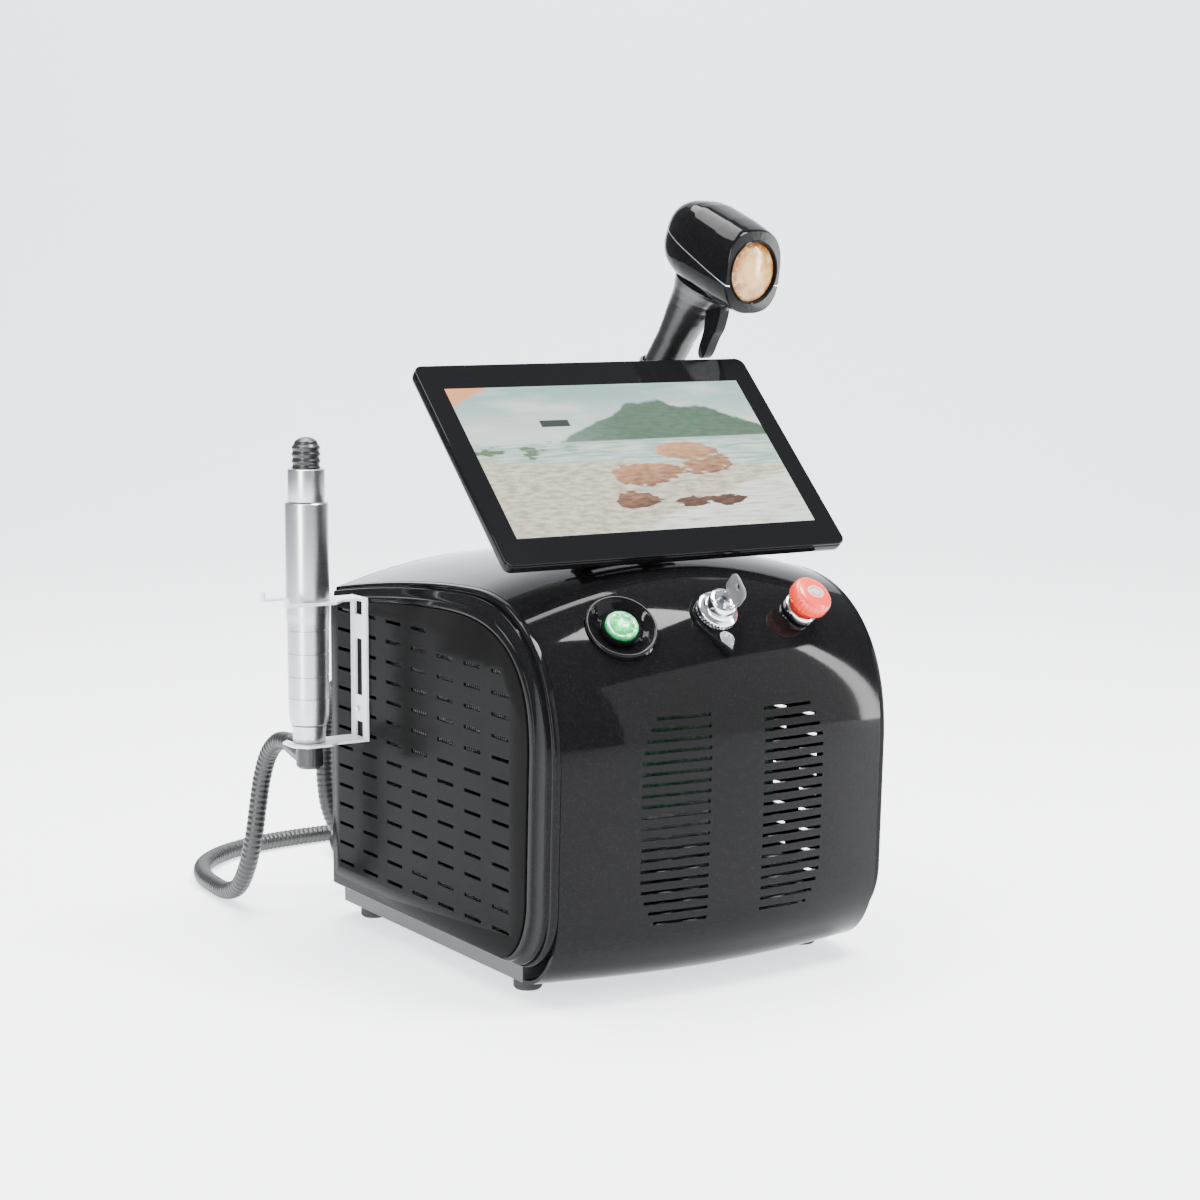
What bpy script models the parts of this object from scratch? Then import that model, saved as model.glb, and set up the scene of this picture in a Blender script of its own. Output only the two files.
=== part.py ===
"""Desktop light-treatment console: curved cabinet, tilting screen, silver handpiece and gun handpiece.

Units are metres, +Z is up, the front faces -Y and +X is to the operator's right. Design coordinates have
x = 0 on the cabinet's middle plane, y = 0 on its rear face and z = 0 under the feet. The empty "console"
then moves everything so that the origin is the middle of the footprint.
"""
import math

import bmesh
import bpy
from mathutils import Matrix, Vector

for old in list(bpy.data.objects):
    bpy.data.objects.remove(old, do_unlink=True)

# ---- driving dimensions --------------------------------------------------------------------------------
GAP = 0.0003                # between touching pieces
FOOT_HEIGHT = 0.012
FOOT_RADIUS = 0.012
SHELL_WIDTH = 0.312         # between the side edges of the front shell
SHELL_WALL = 0.003
SHELL_REAR_Z = 0.2995
CREST_Y, CREST_Z = -0.250, 0.325
FRONT_Y, BROW_Z = -0.383, 0.192
CHIN_Y, CHIN_Z = -0.379, 0.084
TRAY_FRONT_Y = -0.324
CROWN_TOP = 0.024           # how far the shell bulges at its middle, on top and in front
CROWN_FRONT = 0.017
BROW_POWER = 2.3
PANEL_STAND_OFF = 0.0135    # side panel's outer face beyond the shell's edge
PANEL_THICKNESS = 0.002
PANEL_POWER = 2.6
TRAY_HEIGHT = 0.016
SHEET = 0.002
SIDE_SLOT, SIDE_SLOT_HEIGHT = 0.0275, 0.003
SIDE_SLOT_PITCH_Y, SIDE_SLOT_PITCH_Z = 0.0459, 0.0175
SIDE_SLOT_FIRST_Y, SIDE_SLOT_FIRST_Z = -0.035, 0.0543
SIDE_SLOT_ROWS, SIDE_SLOT_COLUMNS = 13, 7
VENT_INNER, VENT_OUTER = 0.0259, 0.088
VENT_PITCH, VENT_HEIGHT = 0.00875, 0.0027
VENT_TOP_Z, VENT_ROWS = 0.231, 20
CONTROL_SPACING = 0.086
DISH_RADIUS, BUTTON_RADIUS = 0.0300, 0.0140
BUTTON_TRAVEL, STOP_TRAVEL = 0.003, 0.004
KEY_PLATE_RADIUS, KEY_PLATE_POINT = 0.0215, 0.038
KEY_COLLAR_RADIUS, KEY_BARREL_RADIUS = 0.0175, 0.0122
STOP_RADIUS, STOP_COLLAR_RADIUS = 0.0180, 0.0150
SCREEN_WIDTH, SCREEN_HEIGHT, SCREEN_DEPTH = 0.3326, 0.2193, 0.013
DISPLAY_WIDTH = SCREEN_WIDTH - 0.0388    # the black border left and right, top and bottom
DISPLAY_HEIGHT = SCREEN_HEIGHT - 0.0541
SCREEN_TILT = math.radians(46.5)
SCREEN_Y, SCREEN_Z = -0.239, 0.4255
HINGE_BACK = 0.022          # hinge axis behind the screen's back face
HINGE_PIN_RADIUS, HINGE_WIDTH = 0.004, 0.090
POST_WIDTH, POST_DEPTH = 0.036, 0.024
WAND_X, WAND_Y = -SHELL_WIDTH / 2 - 0.064, -0.066
SHELF_Z, FORK_Z = 0.174, 0.298
WAND_BODY_RADIUS, WAND_NOSE_RADIUS, WAND_TIP_RADIUS, WAND_TAIL_RADIUS = 0.0187, 0.0160, 0.0125, 0.0145
WAND_TAIL_TOP, WAND_BODY_TOP, WAND_NOSE_TOP, WAND_TIP_TOP = 0.0157, 0.2086, 0.2374, 0.2645
WAND_FIT = 0.0008
HOSE_RADIUS = 0.0083
COIL_RADIUS, COIL_X, COIL_Y = 0.095, 0.030, 0.175
GLAND_X, GLAND_Z = -0.137, 0.205
GUN_X, GUN_Y, GUN_Z = 0.152, -0.142, 0.597
GUN_YAW, GUN_NOSE_DOWN = math.radians(9), math.radians(23)
GUN_LENGTH, GUN_HALF_WIDTH, GUN_TOP, GUN_BOTTOM = 0.100, 0.0345, 0.0375, 0.0375
GUN_WALL = 0.003
GUN_WINDOW_RADIUS = 0.0280
GUN_FACE_RAKE = math.radians(15)
TRIM = 0.0012
GRIP_LENGTH, GRIP_DEPTH, GRIP_WIDTH = 0.124, 0.036, 0.034
GRIP_RAKE = math.radians(13)
FAN_SIZE, FAN_DEPTH, FAN_SPACING, FAN_Z = 0.110, 0.025, 0.068, 0.205

HALF_WIDTH = SHELL_WIDTH / 2
PANEL_X = HALF_WIDTH + PANEL_STAND_OFF
TRAY_TOP = FOOT_HEIGHT + TRAY_HEIGHT

# ---- materials -----------------------------------------------------------------------------------------


def material(name, colour, roughness, metallic=0.0):
    made = bpy.data.materials.new(name)
    made.use_nodes = True
    shader = made.node_tree.nodes["Principled BSDF"]
    shader.inputs["Base Color"].default_value = (*colour, 1)
    shader.inputs["Roughness"].default_value = roughness
    shader.inputs["Metallic"].default_value = metallic
    return made


GLOSS = material("gloss_black", (0.008, 0.008, 0.009), 0.08)
BLACK = material("matt_black", (0.02, 0.02, 0.02), 0.5)
RUBBER = material("rubber", (0.025, 0.025, 0.025), 0.8)
STEEL = material("dark_steel", (0.06, 0.06, 0.065), 0.4, 0.6)
CHROME = material("chrome", (0.8, 0.8, 0.82), 0.12, 1.0)
SILVER = material("anodised_silver", (0.62, 0.62, 0.64), 0.3, 1.0)
WHITE = material("white_powder_coat", (0.85, 0.85, 0.86), 0.35)
GREEN = material("green_lens", (0.0, 0.6, 0.18), 0.15)
RED = material("red_plastic", (0.8, 0.05, 0.03), 0.3)
AMBER = material("amber_window", (0.9, 0.35, 0.05), 0.1)
GLASS = material("screen_glass", (0.01, 0.01, 0.012), 0.05)
BOARD = material("circuit_board", (0.02, 0.2, 0.08), 0.5)
TANK = material("tank_plastic", (0.7, 0.75, 0.75), 0.4)

console = bpy.data.objects.new("console", None)
bpy.context.scene.collection.objects.link(console)

# ---- building blocks -----------------------------------------------------------------------------------


PLACES = {}                 # each object's place in the console's coordinates


def solid(name, points, faces, finish, parent=console, matrix=None, helper=False):
    """An object from points and faces, welded, with its faces pointing out."""
    mesh = bpy.data.meshes.new(name)
    body = bmesh.new()
    corners = [body.verts.new(point) for point in points]
    for face in faces:
        body.faces.new([corners[i] for i in face])
    bmesh.ops.remove_doubles(body, verts=body.verts, dist=1e-6)
    bmesh.ops.recalc_face_normals(body, faces=body.faces)
    body.to_mesh(mesh)
    body.free()
    mesh.shade_smooth()
    mesh.set_sharp_from_angle(angle=math.radians(35))
    made = bpy.data.objects.new(name, mesh)
    bpy.context.scene.collection.objects.link(made)
    if finish:
        mesh.materials.append(finish)
    made.parent = parent
    PLACES[name] = Matrix.Identity(4) if matrix is None else matrix
    made.matrix_local = PLACES[name]
    if helper:
        made.hide_render = True
        made.display_type = "WIRE"
    return made


def loft(loops, ring=False):
    """Points and faces of a tube through loops of equal length; a ring joins its last loop to its first."""
    count, size = len(loops), len(loops[0])
    points = [point for loop in loops for point in loop]
    faces = []
    for k in range(count if ring else count - 1):
        below, above = k * size, (k + 1) % count * size
        for i in range(size):
            j = (i + 1) % size
            faces.append((below + i, below + j, above + j, above + i))
    if not ring:
        faces.append(tuple(range(size)))
        faces.append(tuple((count - 1) * size + i for i in range(size)))
    return points, faces


def turned(profile, sides=18, ring=False):
    """A profile of (radius, height) turned about Z; a ring's profile is a closed loop clear of the axis."""
    angles = [2 * math.pi * k / sides for k in range(sides)]
    loops = [[(r * math.cos(a), r * math.sin(a), z) for a in angles] for r, z in profile]
    return loft(loops, ring)


def prism(outline, low, high):
    """A flat outline of (x, y) points raised from low to high along Z."""
    return loft([[(x, y, z) for x, y in outline] for z in (low, high)])


def block(size, centre):
    """A rectangular block."""
    x, y, z = (s / 2 for s in size)
    flat = [(centre[0] + sx * x, centre[1] + sy * y) for sx, sy in ((-1, -1), (1, -1), (1, 1), (-1, 1))]
    return prism(flat, centre[2] - z, centre[2] + z)


def rounded(width, height, radius, steps=4):
    """A rectangle with round corners, as (x, y) points."""
    points = []
    for turn, (sx, sy) in enumerate(((1, 1), (-1, 1), (-1, -1), (1, -1))):
        for k in range(steps + 1):
            a = math.pi / 2 * (turn + k / steps)
            points.append((sx * (width / 2 - radius) + radius * math.cos(a),
                           sy * (height / 2 - radius) + radius * math.sin(a)))
    return points


def shape(target, operation, points, faces, matrix=None):
    """Joins a helper shape to the target, or cuts it away, with a Boolean modifier."""
    number = len(target.modifiers) + 1
    place = PLACES[target.name] if matrix is None else matrix
    tool = solid(f"{target.name}_{operation.lower()}_{number}", points, faces, None, target.parent,
                 place, True)
    change = target.modifiers.new(f"{operation.lower()}_{number}", "BOOLEAN")
    change.operation = operation
    change.object = tool


def merged(*shapes):
    """Several (points, faces) as one pair, for a cutter made of separate blocks."""
    points, faces = [], []
    for more_points, more_faces in shapes:
        faces += [tuple(i + len(points) for i in face) for face in more_faces]
        points += more_points
    return points, faces


# ---- cabinet -------------------------------------------------------------------------------------------


def brow(crest_y, crest_z, front_y, brow_z, power, steps):
    """A superellipse quarter from the crest to the front face: |y|^power + |z|^power = 1 in half axes."""
    points = []
    for k in range(steps + 1):
        a = math.pi / 2 * k / steps
        points.append((crest_y + (front_y - crest_y) * math.sin(a) ** (2 / power),
                       brow_z + (crest_z - brow_z) * math.cos(a) ** (2 / power)))
    return points


def chin(chin_y, chin_z, end_y, end_z, steps):
    """An ellipse quarter from the front face to the underside."""
    return [(end_y + (chin_y - end_y) * math.cos(math.pi / 2 * k / steps),
             chin_z + (end_z - chin_z) * math.sin(math.pi / 2 * k / steps)) for k in range(1, steps + 1)]


TOP_STEPS, BROW_STEPS, CHIN_STEPS = 3, 12, 5
SHELL_BACK_Y = -SHEET - GAP


def shell_line():
    """The shell's side edge as (y, z, crown height) from its rear top to its lower lip."""
    line = []
    for k in range(TOP_STEPS):
        s = k / TOP_STEPS
        rise = SHELL_REAR_Z + (CREST_Z - SHELL_REAR_Z) * (1 - (1 - s) ** 1.6)
        line.append((SHELL_BACK_Y + (CREST_Y - SHELL_BACK_Y) * s, rise, CROWN_TOP))
    for k, (y, z) in enumerate(brow(CREST_Y, CREST_Z, FRONT_Y, BROW_Z, BROW_POWER, BROW_STEPS)):
        line.append((y, z, CROWN_TOP + (CROWN_FRONT - CROWN_TOP) * k / BROW_STEPS))
    line.append(((FRONT_Y + CHIN_Y) / 2, (BROW_Z + CHIN_Z) / 2, CROWN_FRONT))
    line.append((CHIN_Y, CHIN_Z, CROWN_FRONT))
    for k, (y, z) in enumerate(chin(CHIN_Y, CHIN_Z, TRAY_FRONT_Y, FOOT_HEIGHT, CHIN_STEPS)):
        line.append((y, z, CROWN_FRONT * (1 - ((k + 1) / CHIN_STEPS) ** 2)))
    return line


LINE = shell_line()


def line_normal(k):
    """The outward normal (y, z) of the shell's edge line at point k."""
    if k == 0:
        return 0.0, 1.0
    y0, z0, _ = LINE[k - 1]
    y1, z1, _ = LINE[min(k + 1, len(LINE) - 1)]
    length = math.hypot(y1 - y0, z1 - z0)
    return (z1 - z0) / length, -(y1 - y0) / length


def on_shell(k, x, depth=0.0):
    """A point of the shell at line point k, bulged by its crown and sunk by depth."""
    y, z, crown = LINE[k]
    ny, nz = line_normal(k)
    out = crown * (1 - (x / HALF_WIDTH) ** 2) - depth
    return Vector((x, y + ny * out, z + nz * out))


ACROSS = 12
loops = []
for k in range(len(LINE)):
    xs = [HALF_WIDTH * (2 * i / ACROSS - 1) for i in range(ACROSS + 1)]
    loops.append([on_shell(k, x) for x in xs] + [on_shell(k, x, SHELL_WALL) for x in reversed(xs)])
front_shell = solid("front_shell", *loft(loops), GLOSS)


def vent_trim(row):
    """How much of a vent's outer end the rounded corners of the vent field take away."""
    edge = min(row, VENT_ROWS - 1 - row) * VENT_PITCH
    return 0.013 * max(0.0, 1 - edge / 0.030) ** 1.5


vents = []
for side in (-1, 1):
    for row in range(VENT_ROWS):
        outer = VENT_OUTER - vent_trim(row)
        middle = side * (VENT_INNER + outer) / 2
        vents.append(block((outer - VENT_INNER, 0.05, VENT_HEIGHT),
                           (middle, FRONT_Y - 0.005, VENT_TOP_Z - row * VENT_PITCH)))
shape(front_shell, "DIFFERENCE", *merged(*vents))


PANEL_CREST_Y, PANEL_CREST_Z, PANEL_REAR_Z = -0.224, 0.3035, 0.285
PANEL_FRONT_Y, PANEL_BROW_Z = -0.3525, 0.204
PANEL_CHIN_Y, PANEL_CHIN_Z, PANEL_END_Y, SHELL_END_Y = -0.348, 0.087, -0.304, -0.330


def side_outline(inset, low_z, rear_y, steps=10):
    """A closed side outline between the panel's (inset 0) and the shell's (inset 1)."""
    def mix(panel, shell):
        return panel + (shell - panel) * inset
    crest_y, crest_z = mix(PANEL_CREST_Y, CREST_Y), mix(PANEL_CREST_Z, CREST_Z)
    front_y, brow_z = mix(PANEL_FRONT_Y, FRONT_Y), mix(PANEL_BROW_Z, BROW_Z)
    power = mix(PANEL_POWER, BROW_POWER)
    rear_z = mix(PANEL_REAR_Z, SHELL_REAR_Z)
    line = [(rear_y, rear_z), ((rear_y + crest_y) / 2, rear_z + (crest_z - rear_z) * 0.67)]
    line += brow(crest_y, crest_z, front_y, brow_z, power, steps)
    chin_y, chin_z = mix(PANEL_CHIN_Y, CHIN_Y), mix(PANEL_CHIN_Z, CHIN_Z)
    line.append((chin_y, chin_z))
    line += chin(chin_y, chin_z, mix(PANEL_END_Y, SHELL_END_Y), low_z, CHIN_STEPS)
    return line + [(rear_y, low_z)]


def at_x(outline, x):
    return [(x, y, z) for y, z in outline]


def shrunk(outline, amount):
    """The outline scaled about its middle so that its sides move in by about the amount."""
    ys, zs = [p[0] for p in outline], [p[1] for p in outline]
    cy, cz = (min(ys) + max(ys)) / 2, (min(zs) + max(zs)) / 2
    fy, fz = 1 - 2 * amount / (max(ys) - min(ys)), 1 - 2 * amount / (max(zs) - min(zs))
    return [(cy + (y - cy) * fy, cz + (z - cz) * fz) for y, z in outline]


LOW_Z = TRAY_TOP + GAP
PANEL_OUTLINE = side_outline(0.0, 0.031, -0.006)
FRAME_WINDOW = 0.014
for side, word in ((-1, "left"), (1, "right")):
    outer, middle = side_outline(0.985, LOW_Z, -0.0025), side_outline(0.80, LOW_Z + 0.0008, -0.003)
    edge, window = PANEL_OUTLINE, shrunk(PANEL_OUTLINE, FRAME_WINDOW)
    back = PANEL_X - PANEL_THICKNESS - GAP
    start = HALF_WIDTH + GAP
    stations = [(outer, start), (outer, start + 0.0035), (middle, start + 0.0060), (middle, start + 0.0078),
                (edge, back), (window, back), (window, start)]
    frame = solid(f"{word}_side_frame", *loft([at_x(o, side * x) for o, x in stations], ring=True), GLOSS)
    panel_line = shrunk(PANEL_OUTLINE, 0.0004)
    panel = solid(f"{word}_side_panel", *loft([at_x(panel_line, side * x) for x in (back + GAP, PANEL_X)]),
                  GLOSS)
    slots = []
    for column in range(SIDE_SLOT_COLUMNS):
        y = SIDE_SLOT_FIRST_Y - column * SIDE_SLOT_PITCH_Y
        rows = SIDE_SLOT_ROWS + (column < 4)
        for row in range(rows):
            z = SIDE_SLOT_FIRST_Z + row * SIDE_SLOT_PITCH_Z
            short = 0.012 if column == SIDE_SLOT_COLUMNS - 1 and row == rows - 1 else 0.0
            slots.append(block((0.02, SIDE_SLOT - short, SIDE_SLOT_HEIGHT),
                               (side * PANEL_X, y + short / 2, z)))
    shape(panel, "DIFFERENCE", *merged(*slots))

# The rear panel follows the shell's crown and carries fans, gland, inlet, switch and filler.
top = [(HALF_WIDTH * (1 - 2 * i / ACROSS), SHELL_REAR_Z + CROWN_TOP * (1 - (1 - 2 * i / ACROSS) ** 2))
       for i in range(ACROSS + 1)]
rear_outline = [(-HALF_WIDTH, LOW_Z), (HALF_WIDTH, LOW_Z)] + top
rear_panel = solid("rear_panel", *loft([[(x, y, z) for x, z in rear_outline] for y in (-SHEET, 0)]), STEEL)
louvres = []
for side in (-1, 1):
    for row in range(9):
        louvres.append(block((0.086, 0.02, 0.0045), (side * FAN_SPACING, 0, FAN_Z + (row - 4) * 0.0105)))
# -- holes for the hose gland, inlet, switch and filler are cut with the louvres
GLAND_BORE = 0.0125
INLET_X, INLET_Z, INLET_SIZE = -0.060, 0.085, (0.040, 0.030)
SWITCH_X, SWITCH_SIZE = -0.024, (0.022, 0.030)
MODULE_X, MODULE_WIDTH = (INLET_X + SWITCH_X) / 2 - 0.0045, SWITCH_X - INLET_X + INLET_SIZE[0] - 0.009
FILLER_X, FILLER_Z, FILLER_RADIUS = 0.095, 0.095, 0.014
FACE_BACK = Matrix.Rotation(-math.pi / 2, 4, "X")     # turns +Z towards +Y


def rear_at(x, z, y=0.0):
    return Matrix.Translation((x, y, z)) @ FACE_BACK


def placed(points_faces, matrix):
    points, faces = points_faces
    return [matrix @ Vector(p) for p in points], faces


holes = [block((MODULE_WIDTH + 0.001, 0.02, SWITCH_SIZE[1] + 0.001), (MODULE_X, 0, INLET_Z)),
         placed(turned([(GLAND_BORE + GAP, -0.01), (GLAND_BORE + GAP, 0.01)]), rear_at(GLAND_X, GLAND_Z)),
         placed(turned([(FILLER_RADIUS + GAP, -0.01), (FILLER_RADIUS + GAP, 0.01)]),
                rear_at(FILLER_X, FILLER_Z))]
shape(rear_panel, "DIFFERENCE", *merged(*louvres, *holes))

# The tray is a folded pan, closed at the front just behind the shell's lower lip.
TRAY_START, TRAY_END = TRAY_FRONT_Y + 0.0015, SHELL_BACK_Y
tray_middle = (TRAY_START + TRAY_END) / 2
tray = solid("base_tray", *block((SHELL_WIDTH, TRAY_END - TRAY_START, TRAY_HEIGHT),
                                 (0, tray_middle, FOOT_HEIGHT + TRAY_HEIGHT / 2)), STEEL)
shape(tray, "DIFFERENCE", *block((SHELL_WIDTH - 2 * SHEET, TRAY_END - TRAY_START - 2 * SHEET, TRAY_HEIGHT),
                                 (0, tray_middle, FOOT_HEIGHT + SHEET + TRAY_HEIGHT / 2)))
for side, side_word in ((-1, "left"), (1, "right")):
    for y, end_word in ((-0.025, "rear"), (-0.300, "front")):
        foot = turned([(FOOT_RADIUS * 0.85, 0), (FOOT_RADIUS, 0.002), (FOOT_RADIUS, FOOT_HEIGHT - GAP)], 20)
        solid(f"foot_{end_word}_{side_word}", *foot, RUBBER, console,
              Matrix.Translation((side * 0.138, y, 0)))

# ---- brow controls: each stands on the shell along its normal ------------------------------------------
CONTROL_K = TOP_STEPS + BROW_STEPS // 2


def control_frame(x):
    """A frame on the shell's brow at x: origin on the surface, Z outwards, X sideways."""
    origin = on_shell(CONTROL_K, x)
    along = (on_shell(CONTROL_K, x + 0.002) - on_shell(CONTROL_K, x - 0.002)).normalized()
    down = on_shell(CONTROL_K + 1, x) - on_shell(CONTROL_K - 1, x)
    out = down.cross(along).normalized()
    if out.z < 0:
        out = -out
    turn = Matrix((along, out.cross(along), out)).transposed().to_4x4()
    return Matrix.Translation(origin) @ turn


CONTROL_DEPTH = 0.020
start = control_frame(-CONTROL_SPACING)
dish_bore = BUTTON_RADIUS + 0.0005
solid("start_button_dish", *turned([
    (dish_bore, -CONTROL_DEPTH), (DISH_RADIUS - 0.009, -CONTROL_DEPTH), (DISH_RADIUS, -0.010),
    (DISH_RADIUS, 0.0018),
    (DISH_RADIUS - 0.001, 0.0026), (DISH_RADIUS - 0.0022, 0.0020), (dish_bore + 0.006, -0.0045),
    (dish_bore, -0.0050)], 20, ring=True), GLOSS, console, start)
solid("start_button", *turned([(BUTTON_RADIUS - 0.001, -CONTROL_DEPTH),
                               (BUTTON_RADIUS, -CONTROL_DEPTH + 0.001), (BUTTON_RADIUS, 0.0030),
                               (BUTTON_RADIUS - 0.0015, 0.0042), (0.006, 0.0052)]), GREEN, console, start)
shape(front_shell, "DIFFERENCE", *turned([(DISH_RADIUS + GAP, -0.03), (DISH_RADIUS + GAP, 0.03)], 24), start)

key_frame = control_frame(0.0)


def teardrop(radius, point):
    """A round plate drawn out to a point towards -Y, tangent lines meeting at the point."""
    touch = math.asin(radius / point)
    arc = [-math.pi / 2 + (math.pi / 2 - touch) + (math.pi + 2 * touch) * k / 20 for k in range(21)]
    return [(radius * math.cos(a), radius * math.sin(a)) for a in arc] + [(0, -point)]


KEY_BORE = 0.0095
solid("key_switch_plate", *prism(teardrop(KEY_PLATE_RADIUS, KEY_PLATE_POINT), -0.010, 0.0022), GLOSS,
      console,
      key_frame)
shape(bpy.data.objects["key_switch_plate"], "DIFFERENCE",
      *turned([(KEY_BORE + GAP, -0.02), (KEY_BORE + GAP, 0.02)]), key_frame)
shape(front_shell, "DIFFERENCE",
      *prism(teardrop(KEY_PLATE_RADIUS + GAP, KEY_PLATE_POINT + 2 * GAP), -0.03, 0.03), key_frame)
key_barrel = solid("key_switch_barrel", *turned([
    (KEY_BORE - 0.001, -0.020), (KEY_BORE, -0.019), (KEY_BORE, 0.0025), (KEY_COLLAR_RADIUS, 0.0025),
    (KEY_COLLAR_RADIUS, 0.0085), (KEY_BARREL_RADIUS + 0.001, 0.0105), (KEY_BARREL_RADIUS, 0.0195),
    (KEY_BARREL_RADIUS - 0.001, 0.0205)]), CHROME, console, key_frame)
KEY_BLADE, BLADE_WIDE = 0.0024, 0.0086
shape(key_barrel, "DIFFERENCE", *turned([(KEY_BARREL_RADIUS * 0.42, 0.006),
                                         (KEY_BARREL_RADIUS * 0.42, 0.03)], 16), key_frame)
key = solid("key", *block((KEY_BLADE, BLADE_WIDE, 0.022), (0, 0, 0.0175)), CHROME, console, key_frame)
shape(key, "UNION", *placed(prism(rounded(0.020, 0.024, 0.006), -0.0013, 0.0013),
                            Matrix.Translation((0, -0.004, 0.0385)) @ Matrix.Rotation(math.pi / 2, 4, "Y")))

stop = control_frame(CONTROL_SPACING)
STOP_BORE = 0.011
solid("stop_switch_collar", *turned([
    (0.0072, -0.020), (STOP_BORE, -0.020), (STOP_BORE, GAP), (STOP_COLLAR_RADIUS, 0.0010),
    (STOP_COLLAR_RADIUS, 0.0065), (STOP_COLLAR_RADIUS - 0.002, 0.0080), (0.0072, 0.0080)], 20, ring=True),
    CHROME, console, stop)
solid("stop_button", *turned([(0.0060, -0.016), (0.0068, -0.015), (0.0068, 0.0130),
                              (STOP_RADIUS - 0.003, 0.0130), (STOP_RADIUS, 0.0150), (STOP_RADIUS, 0.0230),
                              (STOP_RADIUS - 0.002, 0.0262), (0.008, 0.0282)], 20), RED, console, stop)
shape(front_shell, "DIFFERENCE", *turned([(STOP_BORE + GAP, -0.03), (STOP_BORE + GAP, 0.03)], 20), stop)

# ---- tilting screen ------------------------------------------------------------------------------------
SCREEN = (Matrix.Translation((0, SCREEN_Y, SCREEN_Z)) @ Matrix.Rotation(math.pi / 2 - SCREEN_TILT, 4, "X"))
hinge_local = Vector((0, 0, -SCREEN_DEPTH - HINGE_BACK))
HINGE = SCREEN @ hinge_local
GLASS_THICKNESS = 0.002


def slab(width, height, radius, stations):
    """A rounded slab through (inset, height) stations."""
    return loft([[(x, y, z) for x, y in rounded(width - 2 * i, height - 2 * i, max(radius - i, 0.001))]
                 for i, z in stations])


solid("screen_glass", *slab(SCREEN_WIDTH, SCREEN_HEIGHT, 0.008,
                            [(0, -GLASS_THICKNESS), (0, -0.0004), (0.0004, 0)]), GLASS, console, SCREEN)
cover = solid("screen_back_cover", *slab(SCREEN_WIDTH, SCREEN_HEIGHT, 0.008, [
    (0.006, -SCREEN_DEPTH), (0.001, -SCREEN_DEPTH + 0.003), (0, -SCREEN_DEPTH + 0.006),
    (0, -GLASS_THICKNESS - GAP)]), BLACK, console, SCREEN)
POCKET = 0.008
shape(cover, "DIFFERENCE", *block((SCREEN_WIDTH - 0.010, SCREEN_HEIGHT - 0.010, POCKET),
                                  (0, 0, -GLASS_THICKNESS - POCKET / 2 + 0.001)))
solid("display_module", *block((DISPLAY_WIDTH + 0.008, DISPLAY_HEIGHT + 0.008, POCKET - 0.0030),
                               (0, 0, -GLASS_THICKNESS - GAP - (POCKET - 0.0030) / 2)), BLACK, console,
                               SCREEN)
LUG_RADIUS, LUG_WIDTH = 0.009, 0.012
bracket = solid("screen_bracket", *prism(rounded(HINGE_WIDTH + 0.010, 0.070, 0.006),
                                         -SCREEN_DEPTH - GAP - 0.003, -SCREEN_DEPTH - GAP), STEEL,
                                         console, SCREEN)
SIDEWAYS = Matrix.Rotation(math.pi / 2, 4, "Y")
for side in (-1, 1):
    lug_x = side * (HINGE_WIDTH / 2 - LUG_WIDTH / 2)
    round_end = [(LUG_RADIUS * math.cos(a), LUG_RADIUS * math.sin(a))
                 for a in (math.pi * k / 10 - math.pi for k in range(11))]
    lug = prism(round_end + [(LUG_RADIUS, HINGE_BACK - 0.001), (-LUG_RADIUS, HINGE_BACK - 0.001)],
                -LUG_WIDTH / 2, LUG_WIDTH / 2)
    stand_up = Matrix.Rotation(math.pi / 2, 4, "Z") @ Matrix.Rotation(math.pi / 2, 4, "X")
    shape(bracket, "UNION", *placed(lug, Matrix.Translation((lug_x, 0, hinge_local.z)) @ stand_up))
pin_hole = [(HINGE_PIN_RADIUS + GAP, -0.1), (HINGE_PIN_RADIUS + GAP, 0.1)]
shape(bracket, "DIFFERENCE", *placed(turned(pin_hole, 16), Matrix.Translation(hinge_local) @ SIDEWAYS))
solid("hinge_pin", *turned([(HINGE_PIN_RADIUS, -HINGE_WIDTH / 2 - 0.003),
                            (HINGE_PIN_RADIUS, HINGE_WIDTH / 2 + 0.003)], 16), CHROME, console,
                            Matrix.Translation(HINGE) @ SIDEWAYS)
KNUCKLE = HINGE_WIDTH / 2 - LUG_WIDTH - 0.0005
POST_FOOT_Z = CREST_Z - 0.012
post = solid("screen_post", *placed(turned([(0.010, -KNUCKLE), (0.010, KNUCKLE)], 20),
                                    Matrix.Translation(HINGE) @ SIDEWAYS), STEEL)
post_height = HINGE.z - POST_FOOT_Z - 0.002
shape(post, "UNION", *loft([[(x, y, z) for x, y in rounded(POST_WIDTH + w, POST_DEPTH + d, 0.005)] for w, d,
                            z in ((0.012, 0.010, -post_height - 0.002), (0.012, 0.010, -post_height + 0.04),
                                  (0.020, -0.006, -0.002))]), Matrix.Translation(HINGE))
shape(post, "DIFFERENCE", *placed(turned(pin_hole, 16), Matrix.Translation(HINGE) @ SIDEWAYS))
shape(front_shell, "DIFFERENCE", *prism(rounded(POST_WIDTH + 0.012 + 2 * GAP,
                                                POST_DEPTH + 0.010 + 2 * GAP, 0.005),
                                        -0.10, -0.02), Matrix.Translation(HINGE))

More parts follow.
